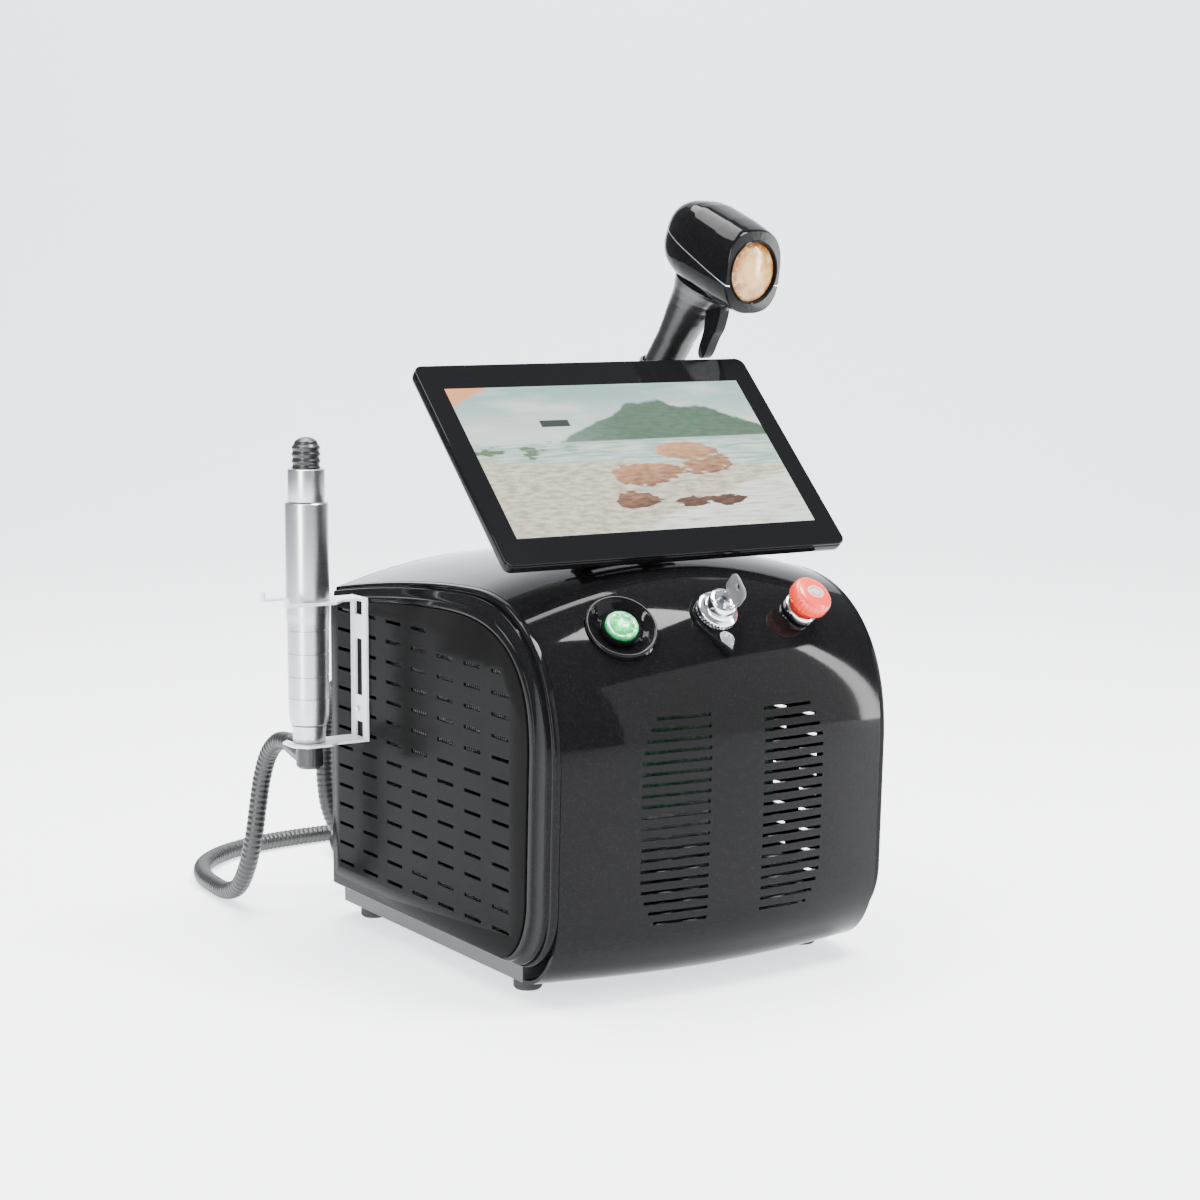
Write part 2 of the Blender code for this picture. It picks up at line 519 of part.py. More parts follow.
# ---- silver handpiece and its bracket ------------------------------------------------------------------
WAND = Matrix.Translation((WAND_X, WAND_Y, SHELF_Z))
solid("wand_tail", *turned([(WAND_TAIL_RADIUS - 0.001, GAP), (WAND_TAIL_RADIUS, 0.0015),
                            (WAND_TAIL_RADIUS + 0.0008, WAND_TAIL_TOP - GAP)], 20), SILVER, console, WAND)
solid("wand_body", *turned([(0.0160, WAND_TAIL_TOP), (0.0176, WAND_TAIL_TOP + 0.009), (0.0180, 0.100),
                            (WAND_BODY_RADIUS, 0.112), (WAND_BODY_RADIUS, WAND_BODY_TOP - 0.002),
                            (WAND_BODY_RADIUS - 0.001, WAND_BODY_TOP)], 20), SILVER, console, WAND)
solid("wand_nose", *turned([(WAND_NOSE_RADIUS, WAND_BODY_TOP + GAP),
                            (WAND_NOSE_RADIUS, WAND_NOSE_TOP - 0.001),
                            (WAND_NOSE_RADIUS - 0.001, WAND_NOSE_TOP)], 20), SILVER, console, WAND)
tip = [(WAND_TIP_RADIUS * math.cos(a), WAND_TIP_TOP - WAND_TIP_RADIUS * 0.7 * (1 - math.sin(a)))
       for a in (0, 0.35, 0.7, 1.05, 1.35)]
solid("wand_tip", *turned([(WAND_TIP_RADIUS - 0.001, WAND_NOSE_TOP + GAP),
                           (WAND_TIP_RADIUS, WAND_NOSE_TOP + 0.002)] + tip, 24), RUBBER, console, WAND)
BOOT_RADIUS, BOOT_LENGTH, BOOT_Z, BOOT_TILT = 0.0100, 0.034, -0.0125, math.radians(8)
elbow = solid("wand_hose_elbow", *turned([(0.0095, -0.0225), (0.0118, -0.0200), (0.0118, -0.0030),
                                          (0.0105, -GAP)],
                                         24), RUBBER, console, WAND)
BOOT = Matrix.Translation((0, 0, BOOT_Z)) @ Matrix.Rotation(BOOT_TILT, 4, "X") @ FACE_BACK
shape(elbow, "UNION", *placed(turned([(BOOT_RADIUS, 0), (BOOT_RADIUS, 0.016),
                                      (HOSE_RADIUS + 0.0006, BOOT_LENGTH)], 20), BOOT), WAND)

PLATE_X = -PANEL_X - GAP - SHEET
wand_bracket = solid("wand_bracket", *block((SHEET, 0.030, FORK_Z - SHELF_Z + SHEET),
                                            (PLATE_X + SHEET / 2, WAND_Y,
                                             (FORK_Z + SHELF_Z - SHEET) / 2)), WHITE)


def mirrored(half):
    """An outline of (x, y offset) points repeated on the other side of the handpiece's line."""
    return [(x, WAND_Y - y) for x, y in half] + [(x, WAND_Y + y) for x, y in reversed(half)]


FORK_END = -0.252
fork = mirrored([(PLATE_X + SHEET, 0.013), (-0.192, 0.013), (-0.206, 0.0275), (FORK_END, 0.0275)])
shape(wand_bracket, "UNION", *prism(fork, FORK_Z - SHEET, FORK_Z))
for side in (-1, 1):
    shape(wand_bracket, "UNION", *block((SHEET, 0.0065, 0.008),
                                        (FORK_END + SHEET / 2, WAND_Y + side * 0.02395, FORK_Z + 0.002)))
shelf = mirrored([(PLATE_X + SHEET, 0.015), (-0.200, 0.015), (-0.208, 0.021), (-0.230, 0.021),
                  (-0.240, 0.011)])
shape(wand_bracket, "UNION", *prism(shelf, SHELF_Z - SHEET, SHELF_Z))
fork_gap = WAND_BODY_RADIUS + WAND_FIT
shape(wand_bracket, "DIFFERENCE", *turned([(fork_gap, -0.01), (fork_gap, 0.01)], 20),
      Matrix.Translation((WAND_X, WAND_Y, FORK_Z)))
shape(wand_bracket, "DIFFERENCE", *block((0.08, 2 * fork_gap, 0.03), (WAND_X - 0.04, WAND_Y, FORK_Z)))
shape(wand_bracket, "DIFFERENCE", *turned([(0.0125, -0.01), (0.0125, 0.01)], 24),
      Matrix.Translation((WAND_X, WAND_Y, SHELF_Z)))
shape(wand_bracket, "DIFFERENCE", *block((0.025, 0.06, 0.02), (WAND_X, WAND_Y + 0.03, SHELF_Z)))
for z, height, width in ((0.236, 0.050, 0.0125), (0.288, 0.012, 0.014), (0.181, 0.014, 0.014)):
    shape(wand_bracket, "DIFFERENCE", *block((0.01, width, height), (PLATE_X, WAND_Y, z)))
SCREW_Z, SCREW_RADIUS = 0.199, 0.0028
LEFT_FACE = Matrix.Rotation(-math.pi / 2, 4, "Y")
screw = turned([(SCREW_RADIUS - 0.0007, 0.0), (SCREW_RADIUS, 0.0004), (SCREW_RADIUS, 0.0016),
                (SCREW_RADIUS - 0.0007, 0.0021)], 16)
solid("bracket_screw", *screw, CHROME, console,
      Matrix.Translation((PLATE_X - GAP, WAND_Y, SCREW_Z)) @ LEFT_FACE)

# ---- hose: from the elbow down to the floor, once and a half round behind the cabinet, up to the rear gl
GLAND = rear_at(GLAND_X, GLAND_Z)
solid("hose_gland", *turned([
    (HOSE_RADIUS - 0.003, -0.010), (GLAND_BORE, -0.010), (GLAND_BORE, GAP), (GLAND_BORE + 0.004, GAP),
    (GLAND_BORE + 0.004, 0.008), (HOSE_RADIUS + 0.001, 0.022), (HOSE_RADIUS - 0.003, 0.022)], 20,
    ring=True), BLACK,
    console, GLAND)
FLOOR_Z = HOSE_RADIUS + GAP
BOOT_END = WAND @ BOOT @ Vector((0, 0, BOOT_LENGTH + 2 * GAP))
BOOT_AHEAD = WAND @ BOOT @ Vector((0, 0, BOOT_LENGTH + 0.009))
COIL_BACK, COIL_FRONT = COIL_Y + COIL_RADIUS, COIL_Y - COIL_RADIUS
TUBE_STOP = 0.064
WAND_LEG = [tuple(BOOT_END), tuple(BOOT_AHEAD), (-0.220, -0.002, 0.164), (-0.221, 0.016, 0.150),
            (-0.223, 0.026, 0.128), (-0.226, 0.030, 0.100), (-0.229, 0.033, 0.072), (-0.231, 0.043, 0.044),
            (-0.231, 0.063, 0.021), (-0.230, 0.092, 0.0105), (-0.228, 0.125, FLOOR_Z),
            (-0.222, 0.165, FLOOR_Z), (-0.204, 0.205, FLOOR_Z), (-0.172, 0.238, FLOOR_Z),
            (-0.130, 0.259, FLOOR_Z), (-0.085, 0.268, FLOOR_Z), (COIL_X - TUBE_STOP, COIL_BACK, FLOOR_Z)]
GLAND_LEG = [(GLAND_X, 0.0226, GLAND_Z), (GLAND_X, 0.0300, GLAND_Z), (GLAND_X, 0.043, GLAND_Z - 0.003),
             (GLAND_X, 0.060, GLAND_Z - 0.016),
             (GLAND_X, 0.072, GLAND_Z - 0.040), (GLAND_X, 0.076, GLAND_Z - 0.070), (-0.136, 0.077, 0.105),
             (-0.131, 0.078, 0.078), (-0.119, 0.079, 0.055), (-0.100, 0.080, 0.038), (-0.075, 0.080, 0.0285),
             (COIL_X - TUBE_STOP, COIL_FRONT, 3 * HOSE_RADIUS + GAP)]


def smooth(points, step):
    """Points about a step apart on the Catmull-Rom curve through the given points."""
    route = [Vector(p) for p in points]
    ends = [2 * route[0] - route[1]] + route + [2 * route[-1] - route[-2]]
    line = []
    for a, b, c, d in zip(ends, ends[1:], ends[2:], ends[3:]):
        count = max(1, round((c - b).length / step))
        for k in range(count):
            t = k / count
            line.append(0.5 * (2 * b + (c - a) * t + (2 * a - 5 * b + 4 * c - d) * t * t
                               + (3 * b - a - 3 * c + d) * t * t * t))
    return line + [route[-1]]


def tube(name, points):
    """A round tube along the smooth curve through the points."""
    curve = bpy.data.curves.new(name, "CURVE")
    curve.dimensions = "3D"
    curve.bevel_depth = HOSE_RADIUS
    curve.bevel_resolution = 2
    curve.use_fill_caps = True
    line = smooth(points, 0.042)
    spline = curve.splines.new("POLY")
    spline.points.add(len(line) - 1)
    for place, point in zip(spline.points, line):
        place.co = (*point, 1)
    curve.materials.append(RUBBER)
    made = bpy.data.objects.new(name, curve)
    bpy.context.scene.collection.objects.link(made)
    made.parent = console


tube("hose_wand_leg", WAND_LEG)
tube("hose_gland_leg", GLAND_LEG)
solid("hose_coil", *turned([
    (COIL_RADIUS - HOSE_RADIUS, GAP), (COIL_RADIUS + HOSE_RADIUS, GAP),
    (COIL_RADIUS + HOSE_RADIUS, 4 * HOSE_RADIUS), (COIL_RADIUS - HOSE_RADIUS, 4 * HOSE_RADIUS)], 32,
    ring=True),
    RUBBER, console, Matrix.Translation((COIL_X, COIL_Y, 0)))

# ---- gun handpiece: head of two shells, handle under it, trigger lever in front of the handle ----------
GUN = (Matrix.Translation((GUN_X, GUN_Y, GUN_Z)) @ Matrix.Rotation(GUN_YAW, 4, "Z")
       @ Matrix.Rotation(GUN_NOSE_DOWN, 4, "X"))


def head(inset):
    """The head's rounded body: superellipse sections from rear to front, leaning towards the front rake."""
    loops = []
    for share, size in ((0, 0.52), (0.06, 0.74), (0.18, 0.90), (0.40, 1.0), (0.75, 1.0), (1.0, 0.93)):
        y = GUN_LENGTH * (0.5 - share) - (inset if share < 0.5 else -inset)
        loop = []
        for k in range(24):
            a = 2 * math.pi * k / 24
            c, s = math.cos(a), math.sin(a)
            x = math.copysign(abs(c) ** (2 / 2.7), c) * (GUN_HALF_WIDTH * size - inset)
            z = math.copysign(abs(s) ** (2 / 2.7), s) * ((GUN_TOP if s > 0 else GUN_BOTTOM) * size - inset)
            loop.append((x, y + z * math.tan(GUN_FACE_RAKE) * share, z))
        loops.append(loop)
    return loft(loops)


def gun_slab(low, high, slope):
    """A tall block between two parallel planes, falling towards the front by the slope."""
    return [(x, y, z + slope * y) for z in (low, high) for x, y in
            ((-0.08, -0.10), (0.08, -0.10), (0.08, 0.10), (-0.08, 0.10))], \
           [(0, 1, 2, 3), (4, 5, 6, 7), (0, 1, 5, 4), (1, 2, 6, 5), (2, 3, 7, 6), (3, 0, 4, 7)]


SEAM_Z, SEAM_SLOPE, HANDLE_SEAM_Z, HANDLE_SLOPE = -0.0035, 0.15, -0.0335, 0.03
GUN_PARTS = (("gun_upper_shell", SEAM_Z + TRIM / 2 + GAP, 0.12, SEAM_SLOPE, GLOSS),
             ("gun_seam_trim", SEAM_Z - TRIM / 2, SEAM_Z + TRIM / 2, SEAM_SLOPE, CHROME))
for name, low, high, slope, finish in GUN_PARTS:
    piece = solid(name, *head(0.0), finish, console, GUN)
    shape(piece, "INTERSECT", *gun_slab(low, high, slope))
    shape(piece, "DIFFERENCE", *head(GUN_WALL))
lower = solid("gun_lower_shell", *head(0.0), GLOSS, console, GUN)
shape(lower, "DIFFERENCE", *gun_slab(SEAM_Z - TRIM / 2 - GAP, 0.12, SEAM_SLOPE))
shape(lower, "DIFFERENCE", *gun_slab(-0.12, HANDLE_SEAM_Z + TRIM / 2 + GAP, HANDLE_SLOPE))
shape(lower, "DIFFERENCE", *head(GUN_WALL))
FACE_Y = -GUN_LENGTH / 2
FACE = (GUN @ Matrix.Translation((0, FACE_Y - 0.0003, 0)) @ Matrix.Rotation(-GUN_FACE_RAKE, 4, "X")
        @ Matrix.Rotation(math.pi / 2, 4, "X"))
window_bore = [(GUN_WINDOW_RADIUS + GAP, -0.012), (GUN_WINDOW_RADIUS + GAP, 0.02)]
for name in ("gun_upper_shell", "gun_lower_shell"):
    shape(bpy.data.objects[name], "DIFFERENCE", *turned(window_bore, 20), FACE)
shape(bpy.data.objects["gun_seam_trim"], "DIFFERENCE", *block((0.10, 0.04, 0.06), (0, FACE_Y - 0.006, 0)))
solid("gun_window", *turned([(GUN_WINDOW_RADIUS - 0.001, -0.007), (GUN_WINDOW_RADIUS, -0.006),
                             (GUN_WINDOW_RADIUS, -0.0012), (GUN_WINDOW_RADIUS * 0.8, 0.0014),
                             (GUN_WINDOW_RADIUS * 0.45, 0.0028)], 20), AMBER, console, FACE)


def grip_loop(down, centre_y, depth, width):
    """An oval section of the handle at a distance below the handle seam."""
    z = HANDLE_SEAM_Z - TRIM / 2 - GAP - down
    return [(width / 2 * math.cos(math.tau * k / 20), centre_y + depth / 2 * math.sin(math.tau * k / 20),
             z + HANDLE_SLOPE * (centre_y + depth / 2 * math.sin(math.tau * k / 20)) * (down < 0.004))
            for k in range(20)]


def grip_y(down):
    """The handle's middle line, raked towards the rear."""
    return 0.006 + math.tan(GRIP_RAKE) * down


handle = solid("gun_handle", *loft([grip_loop(0.0, -0.002, 0.074, 0.052),
                                    grip_loop(0.0035, -0.001, 0.072, 0.050),
                                    grip_loop(0.016, grip_y(0.016) - 0.003, 0.054, 0.042),
                                    grip_loop(0.034, grip_y(0.034), GRIP_DEPTH + 0.008, 0.037),
                                    grip_loop(0.060, grip_y(0.060), GRIP_DEPTH, GRIP_WIDTH),
                                    grip_loop(GRIP_LENGTH, grip_y(GRIP_LENGTH), GRIP_DEPTH, GRIP_WIDTH)]),
                                    GLOSS, console, GUN)
trim_slab = gun_slab(HANDLE_SEAM_Z - TRIM / 2, HANDLE_SEAM_Z + TRIM / 2, HANDLE_SLOPE)
handle_trim = solid("gun_handle_trim", *head(0.0), CHROME, console, GUN)
shape(handle_trim, "INTERSECT", *trim_slab)

# The trigger lever hangs in a slot in the handle's flange, on a cross pin.
TRIGGER_Y, TRIGGER_Z, TRIGGER_LENGTH, TRIGGER_WIDTH = -0.022, -0.0440, 0.052, 0.011
lever = [(-0.0075, 0.0060), (0.0075, 0.0060), (0.0085, -0.018), (0.0050, -0.026), (0.0055, -TRIGGER_LENGTH),
         (-0.0045, -TRIGGER_LENGTH), (-0.0065, -0.028), (-0.0100, -0.020)]
CROSSWAYS = Matrix.Rotation(math.pi / 2, 4, "Z") @ Matrix.Rotation(math.pi / 2, 4, "X")
trigger_place = GUN @ Matrix.Translation((0, TRIGGER_Y, TRIGGER_Z))
trigger = solid("gun_trigger", *placed(prism(lever, -TRIGGER_WIDTH / 2, TRIGGER_WIDTH / 2), CROSSWAYS),
                GLOSS,
                console, trigger_place)
PIN_RADIUS = 0.0020
shape(trigger, "DIFFERENCE", *placed(turned([(PIN_RADIUS + GAP, -0.02), (PIN_RADIUS + GAP, 0.02)], 12),
                                     SIDEWAYS))
solid("gun_trigger_pin", *placed(turned([(PIN_RADIUS, -0.0095), (PIN_RADIUS, 0.0095)], 12), SIDEWAYS),
      CHROME,
      console, trigger_place)
shape(handle, "DIFFERENCE", *block((TRIGGER_WIDTH + 0.0012, 0.040, 0.028),
                                   (0, TRIGGER_Y - 0.0085, TRIGGER_Z - 0.0055)), GUN)
shape(handle, "DIFFERENCE", *placed(turned([(PIN_RADIUS + GAP, -0.0095 - GAP),
                                            (PIN_RADIUS + GAP, 0.0095 + GAP)], 12), SIDEWAYS),
                                            trigger_place)
GRIP_END_Z = HANDLE_SEAM_Z - TRIM / 2 - GAP - GRIP_LENGTH
solid("gun_hose_inlet", *turned([(0.0060, -0.016), (0.0100, -0.016), (0.0115, -0.010), (0.0115, -GAP),
                                 (0.0060, -GAP)],
                                20, ring=True), BLACK, console,
      GUN @ Matrix.Translation((0, grip_y(GRIP_LENGTH), GRIP_END_Z)))

# The cradle: an oval cup round the handle's lower end on a post that stands through the cabinet's top.
CUP_WALL, CUP_HEIGHT, CUP_CLEARANCE, CUP_FLOOR = 0.0025, 0.034, 0.0010, 0.0030


def cup_loop(lift, grow):
    """An oval round the handle, growing outwards, at a height above the handle's end."""
    y = grip_y(GRIP_LENGTH - lift)
    return [((GRIP_WIDTH / 2 + grow) * math.cos(math.tau * k / 20),
             y + (GRIP_DEPTH / 2 + grow) * math.sin(math.tau * k / 20),
             GRIP_END_Z + lift) for k in range(20)]


wall_out = CUP_CLEARANCE + CUP_WALL
cup_outside = loft([cup_loop(-CUP_FLOOR - GAP, wall_out), cup_loop(CUP_HEIGHT, wall_out)])
cup = solid("gun_cradle_cup", *cup_outside, BLACK, console, GUN)
CUP_SIDE = GUN @ Vector((0, grip_y(GRIP_LENGTH - 0.010) + GRIP_DEPTH / 2 + wall_out, GRIP_END_Z + 0.010))
POST_RADIUS, SLEEVE_WALL = 0.011, 0.003
POST_X, POST_Y = CUP_SIDE.x - 0.004, CUP_SIDE.y + POST_RADIUS + 0.010
POST = Matrix.Translation((POST_X, POST_Y, 0))
SLEEVE_LOW, SLEEVE_HIGH = CUP_SIDE.z - 0.016, CUP_SIDE.z + 0.008
SLEEVE_CAP = 0.004


def column(radius, low, high):
    """A round column between two heights."""
    return turned([(radius, low), (radius, high)], 20)


shape(cup, "UNION", *column(POST_RADIUS + SLEEVE_WALL, SLEEVE_LOW, SLEEVE_HIGH), POST)
arm_middle = (CUP_SIDE.x - 0.003, CUP_SIDE.y + 0.006, CUP_SIDE.z - 0.004)
shape(cup, "UNION", *block((0.016, 0.026, 0.016), arm_middle), Matrix.Identity(4))
shape(cup, "DIFFERENCE", *column(POST_RADIUS + GAP, SLEEVE_LOW - 0.01, SLEEVE_HIGH - SLEEVE_CAP), POST)
shape(cup, "DIFFERENCE", *loft([cup_loop(-GAP, CUP_CLEARANCE), cup_loop(CUP_HEIGHT + 0.01, CUP_CLEARANCE)]))
# The floor's hole is long enough for the hose inlet to pass as the raked handle is drawn out.
INLET_HOLE, HOLE_DRIFT = 0.025, 0.0045
shape(cup, "DIFFERENCE", *prism(rounded(INLET_HOLE, INLET_HOLE + HOLE_DRIFT,
                                        INLET_HOLE / 2 - 0.0001), -0.03, 0.01),
      GUN @ Matrix.Translation((0, grip_y(GRIP_LENGTH) - HOLE_DRIFT / 2, GRIP_END_Z)))
CRADLE_Z = SHELL_REAR_Z - 0.012
solid("gun_cradle_post", *column(POST_RADIUS, CRADLE_Z, SLEEVE_HIGH - SLEEVE_CAP - GAP), STEEL, console, POST)
shape(front_shell, "DIFFERENCE", *column(POST_RADIUS + GAP, CRADLE_Z - 0.01, CRADLE_Z + 0.08), POST)

# ---- rear fittings, fans and what the cabinet holds ----------------------------------------------------
for side, word in ((-1, "left"), (1, "right")):
    middle = (side * FAN_SPACING, -SHEET - GAP - FAN_DEPTH / 2, FAN_Z)
    frame = solid(f"{word}_fan_frame", *block((FAN_SIZE, FAN_DEPTH, FAN_SIZE), middle), BLACK)
    fan_place = rear_at(side * FAN_SPACING, FAN_Z, middle[1])
    shape(frame, "DIFFERENCE", *turned([(FAN_SIZE / 2 - 0.003, -0.03), (FAN_SIZE / 2 - 0.003, 0.03)],
                                       20), fan_place)
    shape(frame, "UNION", *block((FAN_SIZE - 0.003, 0.003, 0.006),
                                 (middle[0], -SHEET - GAP - FAN_DEPTH + 0.0015, FAN_Z)))
    rotor = solid(f"{word}_fan_rotor",
                  *turned([(0.018, -0.006), (0.019, -0.005), (0.019, 0.010), (0.018, 0.011)], 20), BLACK,
                  console, fan_place)
    blades = []
    for k in range(5):
        blade = block((0.032, 0.022, 0.0018), (0.0330, 0, 0))
        pitched = Matrix.Translation((0, 0, 0.0025)) @ Matrix.Rotation(math.radians(28), 4, "X")
        blades.append(placed(blade, Matrix.Rotation(math.tau * k / 5, 4, "Z") @ pitched))
    shape(rotor, "UNION", *merged(*blades), fan_place)
inlet = solid("power_inlet", *block((MODULE_WIDTH, 0.026, SWITCH_SIZE[1]),
                                    (MODULE_X, -0.013 + GAP, INLET_Z)), BLACK)
shape(inlet, "UNION", *block((MODULE_WIDTH + 0.005, 0.0022, SWITCH_SIZE[1] + 0.005),
                             (MODULE_X, GAP + 0.0011, INLET_Z)))
shape(inlet, "DIFFERENCE", *block((0.026, 0.03, 0.018), (INLET_X, 0.002, INLET_Z)))
shape(inlet, "DIFFERENCE", *block((0.016, 0.02, 0.024), (SWITCH_X, 0.0, INLET_Z)))
rocker = [(-0.0105, 0.0030), (0.0, 0.0010), (0.0105, 0.0050), (0.0105, -0.0020), (0.0030, -0.0045),
          (-0.0105, -0.0035)]
ROCKER_Y = 0.0015
solid("power_switch_rocker", *placed(prism([(-z, y) for z, y in rocker], -0.0073, 0.0073),
                                     Matrix(((0, 0, 1, 0), (0, 1, 0, 0), (-1, 0, 0, 0), (0, 0, 0, 1)))), RED,
      console, Matrix.Translation((SWITCH_X, ROCKER_Y, INLET_Z)))
filler = rear_at(FILLER_X, FILLER_Z)
TANK_FRONT, TANK_REAR = -0.160, -0.050
solid("filler_neck", *turned([(0.0095, TANK_REAR + GAP), (0.0125, TANK_REAR + GAP), (0.0125, -0.004),
                              (FILLER_RADIUS, -0.004), (FILLER_RADIUS, GAP), (FILLER_RADIUS + 0.003, GAP),
                              (FILLER_RADIUS + 0.003, 0.003), (0.0095, 0.003)], 20, ring=True), BLACK,
                              console, filler)
cap = solid("filler_cap", *turned([(0.0088, -0.006), (0.0088, 0.0033), (FILLER_RADIUS + 0.004, 0.0033),
                                   (FILLER_RADIUS + 0.004, 0.010), (FILLER_RADIUS + 0.002, 0.012)], 24),
                                   BLACK, console,
            filler)
shape(cap, "UNION", *block((0.005, 0.022, 0.006), (0, 0, 0.0135)), filler)
INSIDE = FOOT_HEIGHT + SHEET + GAP
tank = solid("water_tank", *block((0.110, TANK_REAR - TANK_FRONT, 0.110),
                                  (0.085, (TANK_FRONT + TANK_REAR) / 2, INSIDE + 0.055)), TANK)
shape(tank, "DIFFERENCE", *block((0.104, TANK_REAR - TANK_FRONT - 0.006, 0.104),
                                 (0.085, (TANK_FRONT + TANK_REAR) / 2, INSIDE + 0.055)))
shape(tank, "DIFFERENCE", *turned([(0.0095, -0.01), (0.0095, 0.01)]), rear_at(FILLER_X, FILLER_Z, TANK_REAR))
solid("radiator", *block((0.250, 0.024, 0.115), (0, -0.045, FAN_Z)), SILVER)
solid("water_pump", *turned([(0.026, 0), (0.026, 0.045), (0.021, 0.048), (0.021, 0.075)], 20), BLACK,
      console,
      Matrix.Translation((-0.010, -0.105, INSIDE)))
solid("power_supply", *block((0.098, 0.200, 0.050), (-0.095, -0.195, INSIDE + 0.025)), STEEL)
solid("driver_module", *block((0.120, 0.110, 0.060), (0.075, -0.250, INSIDE + 0.030)), STEEL)
solid("control_board", *block((0.160, 0.0016, 0.110), (0, -0.335, 0.200)), BOARD)

# ---- the origin: middle of the footprint of everything but the hose ------------------------------------
bpy.context.view_layer.update()
graph = bpy.context.evaluated_depsgraph_get()
low, high = Vector((9, 9, 9)), Vector((-9, -9, -9))
for made in bpy.data.objects:
    if made.hide_render or made.type != "MESH" or made.name == "hose_coil":
        continue
    evaluated = made.evaluated_get(graph)
    for vertex in evaluated.to_mesh().vertices:
        point = made.matrix_world @ vertex.co
        low, high = Vector(map(min, low, point)), Vector(map(max, high, point))
    evaluated.to_mesh_clear()
console.location = (-(low.x + high.x) / 2, -(low.y + high.y) / 2, 0)
bpy.context.view_layer.update()
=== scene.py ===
"""Looks of the light-treatment console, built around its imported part: lacquered cabinet, tilting
screen, silver handpiece with its ribbed hose, and the gun handpiece with its lit window. Metres, +Z up,
the front faces -Y."""

import math

import bmesh
import bpy
import numpy as np
from mathutils import Matrix, Vector


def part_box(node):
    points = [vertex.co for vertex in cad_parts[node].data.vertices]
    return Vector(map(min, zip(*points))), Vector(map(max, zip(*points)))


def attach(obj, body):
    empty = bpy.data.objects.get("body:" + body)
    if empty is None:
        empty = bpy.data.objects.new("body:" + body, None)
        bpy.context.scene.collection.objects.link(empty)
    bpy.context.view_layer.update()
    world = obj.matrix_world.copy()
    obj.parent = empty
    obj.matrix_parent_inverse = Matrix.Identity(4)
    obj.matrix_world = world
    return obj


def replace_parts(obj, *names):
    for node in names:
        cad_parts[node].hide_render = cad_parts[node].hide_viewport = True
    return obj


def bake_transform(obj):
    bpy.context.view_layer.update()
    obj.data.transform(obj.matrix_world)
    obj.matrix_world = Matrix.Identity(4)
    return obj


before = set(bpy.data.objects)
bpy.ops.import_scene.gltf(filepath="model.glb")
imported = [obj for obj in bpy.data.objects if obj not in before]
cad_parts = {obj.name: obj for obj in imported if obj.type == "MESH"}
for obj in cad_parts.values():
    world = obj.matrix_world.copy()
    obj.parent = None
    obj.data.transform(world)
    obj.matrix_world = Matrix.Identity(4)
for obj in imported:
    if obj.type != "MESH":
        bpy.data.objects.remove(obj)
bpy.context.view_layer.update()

# ---- base tray and feet --------------------------------------------------------------------------
# The tray is a folded sheet-steel pan with a dark powder coat; the cabinet is screwed down onto it.
# Four turned rubber feet are screwed under its corners.


class Sock:
    """A shader socket in an expression: arithmetic adds Math nodes, and node() adds a node of any other
    kind."""

    def __init__(self, tree, socket=None):
        self.tree, self.socket = tree, socket

    def node(self, kind, settings, sockets, output=0):
        """Adds a node of this type, sets its settings first ("stops" fills a ramp), then its sockets'
        values or links."""
        made = self.tree.nodes.new(kind)
        for name, value in settings.items():
            if name == "stops":
                ramp = made.color_ramp.elements
                while len(ramp) < len(value):
                    ramp.new(0.5)
                for stop, (place, colour) in zip(ramp, value):
                    stop.position, stop.color = place, (*colour, 1)
            else:
                setattr(made, name, value)
        for name, value in sockets.items():
            if isinstance(value, Sock):
                self.tree.links.new(value.socket, made.inputs[name])
            else:
                made.inputs[name].default_value = value
        return Sock(self.tree, made.outputs[output])

    def maths(self, operation, first, second=0.0):
        return self.node("ShaderNodeMath", {"operation": operation}, {0: first, 1: second})

    def __add__(self, other):
        return self.maths("ADD", self, other)

    def __radd__(self, other):
        return self.maths("ADD", other, self)

    def __sub__(self, other):
        return self.maths("SUBTRACT", self, other)

    def __rsub__(self, other):
        return self.maths("SUBTRACT", other, self)

    def __mul__(self, other):
        return self.maths("MULTIPLY", self, other)

    def __rmul__(self, other):
        return self.maths("MULTIPLY", other, self)

    def __truediv__(self, other):
        return self.maths("DIVIDE", self, other)

    def __gt__(self, other):
        return self.maths("GREATER_THAN", self, other)

    def __lt__(self, other):
        return self.maths("LESS_THAN", self, other)

    def ramp(self, low, high):
        """0 below low, 1 above high and a smooth rise between."""
        return self.node("ShaderNodeMapRange", {"interpolation_type": "SMOOTHSTEP"},
                         {"Value": self, "From Min": low, "From Max": high})

    def noise(self, scale, detail=3.0, stretch=(1, 1, 1), where="Object"):
        """Fractal noise from 0 to 1 over the piece, with this many features to the metre along each
        stretched axis."""
        place = self.place(where)
        spread = self.node("ShaderNodeVectorMath", {"operation": "MULTIPLY"}, {0: place, 1: stretch})
        return self.node("ShaderNodeTexNoise", {}, {"Vector": spread, "Scale": scale, "Detail": detail})

    def place(self, where="Object"):
        made = self.node("ShaderNodeTexCoord", {}, {})
        return Sock(self.tree, made.socket.node.outputs[where])

    def axis(self, name, where="Object"):
        """One coordinate of the place."""
        return self.node("ShaderNodeSeparateXYZ", {}, {0: self.place(where)}, "XYZ".index(name))

    def mix(self, share, first, second):
        """The first colour where share is 0 and the second where it is 1."""
        ends = {6: first if isinstance(first, Sock) else (*first, 1),
                7: second if isinstance(second, Sock) else (*second, 1)}
        return self.node("ShaderNodeMix", {"data_type": "RGBA"}, {0: share, **ends}, 2)


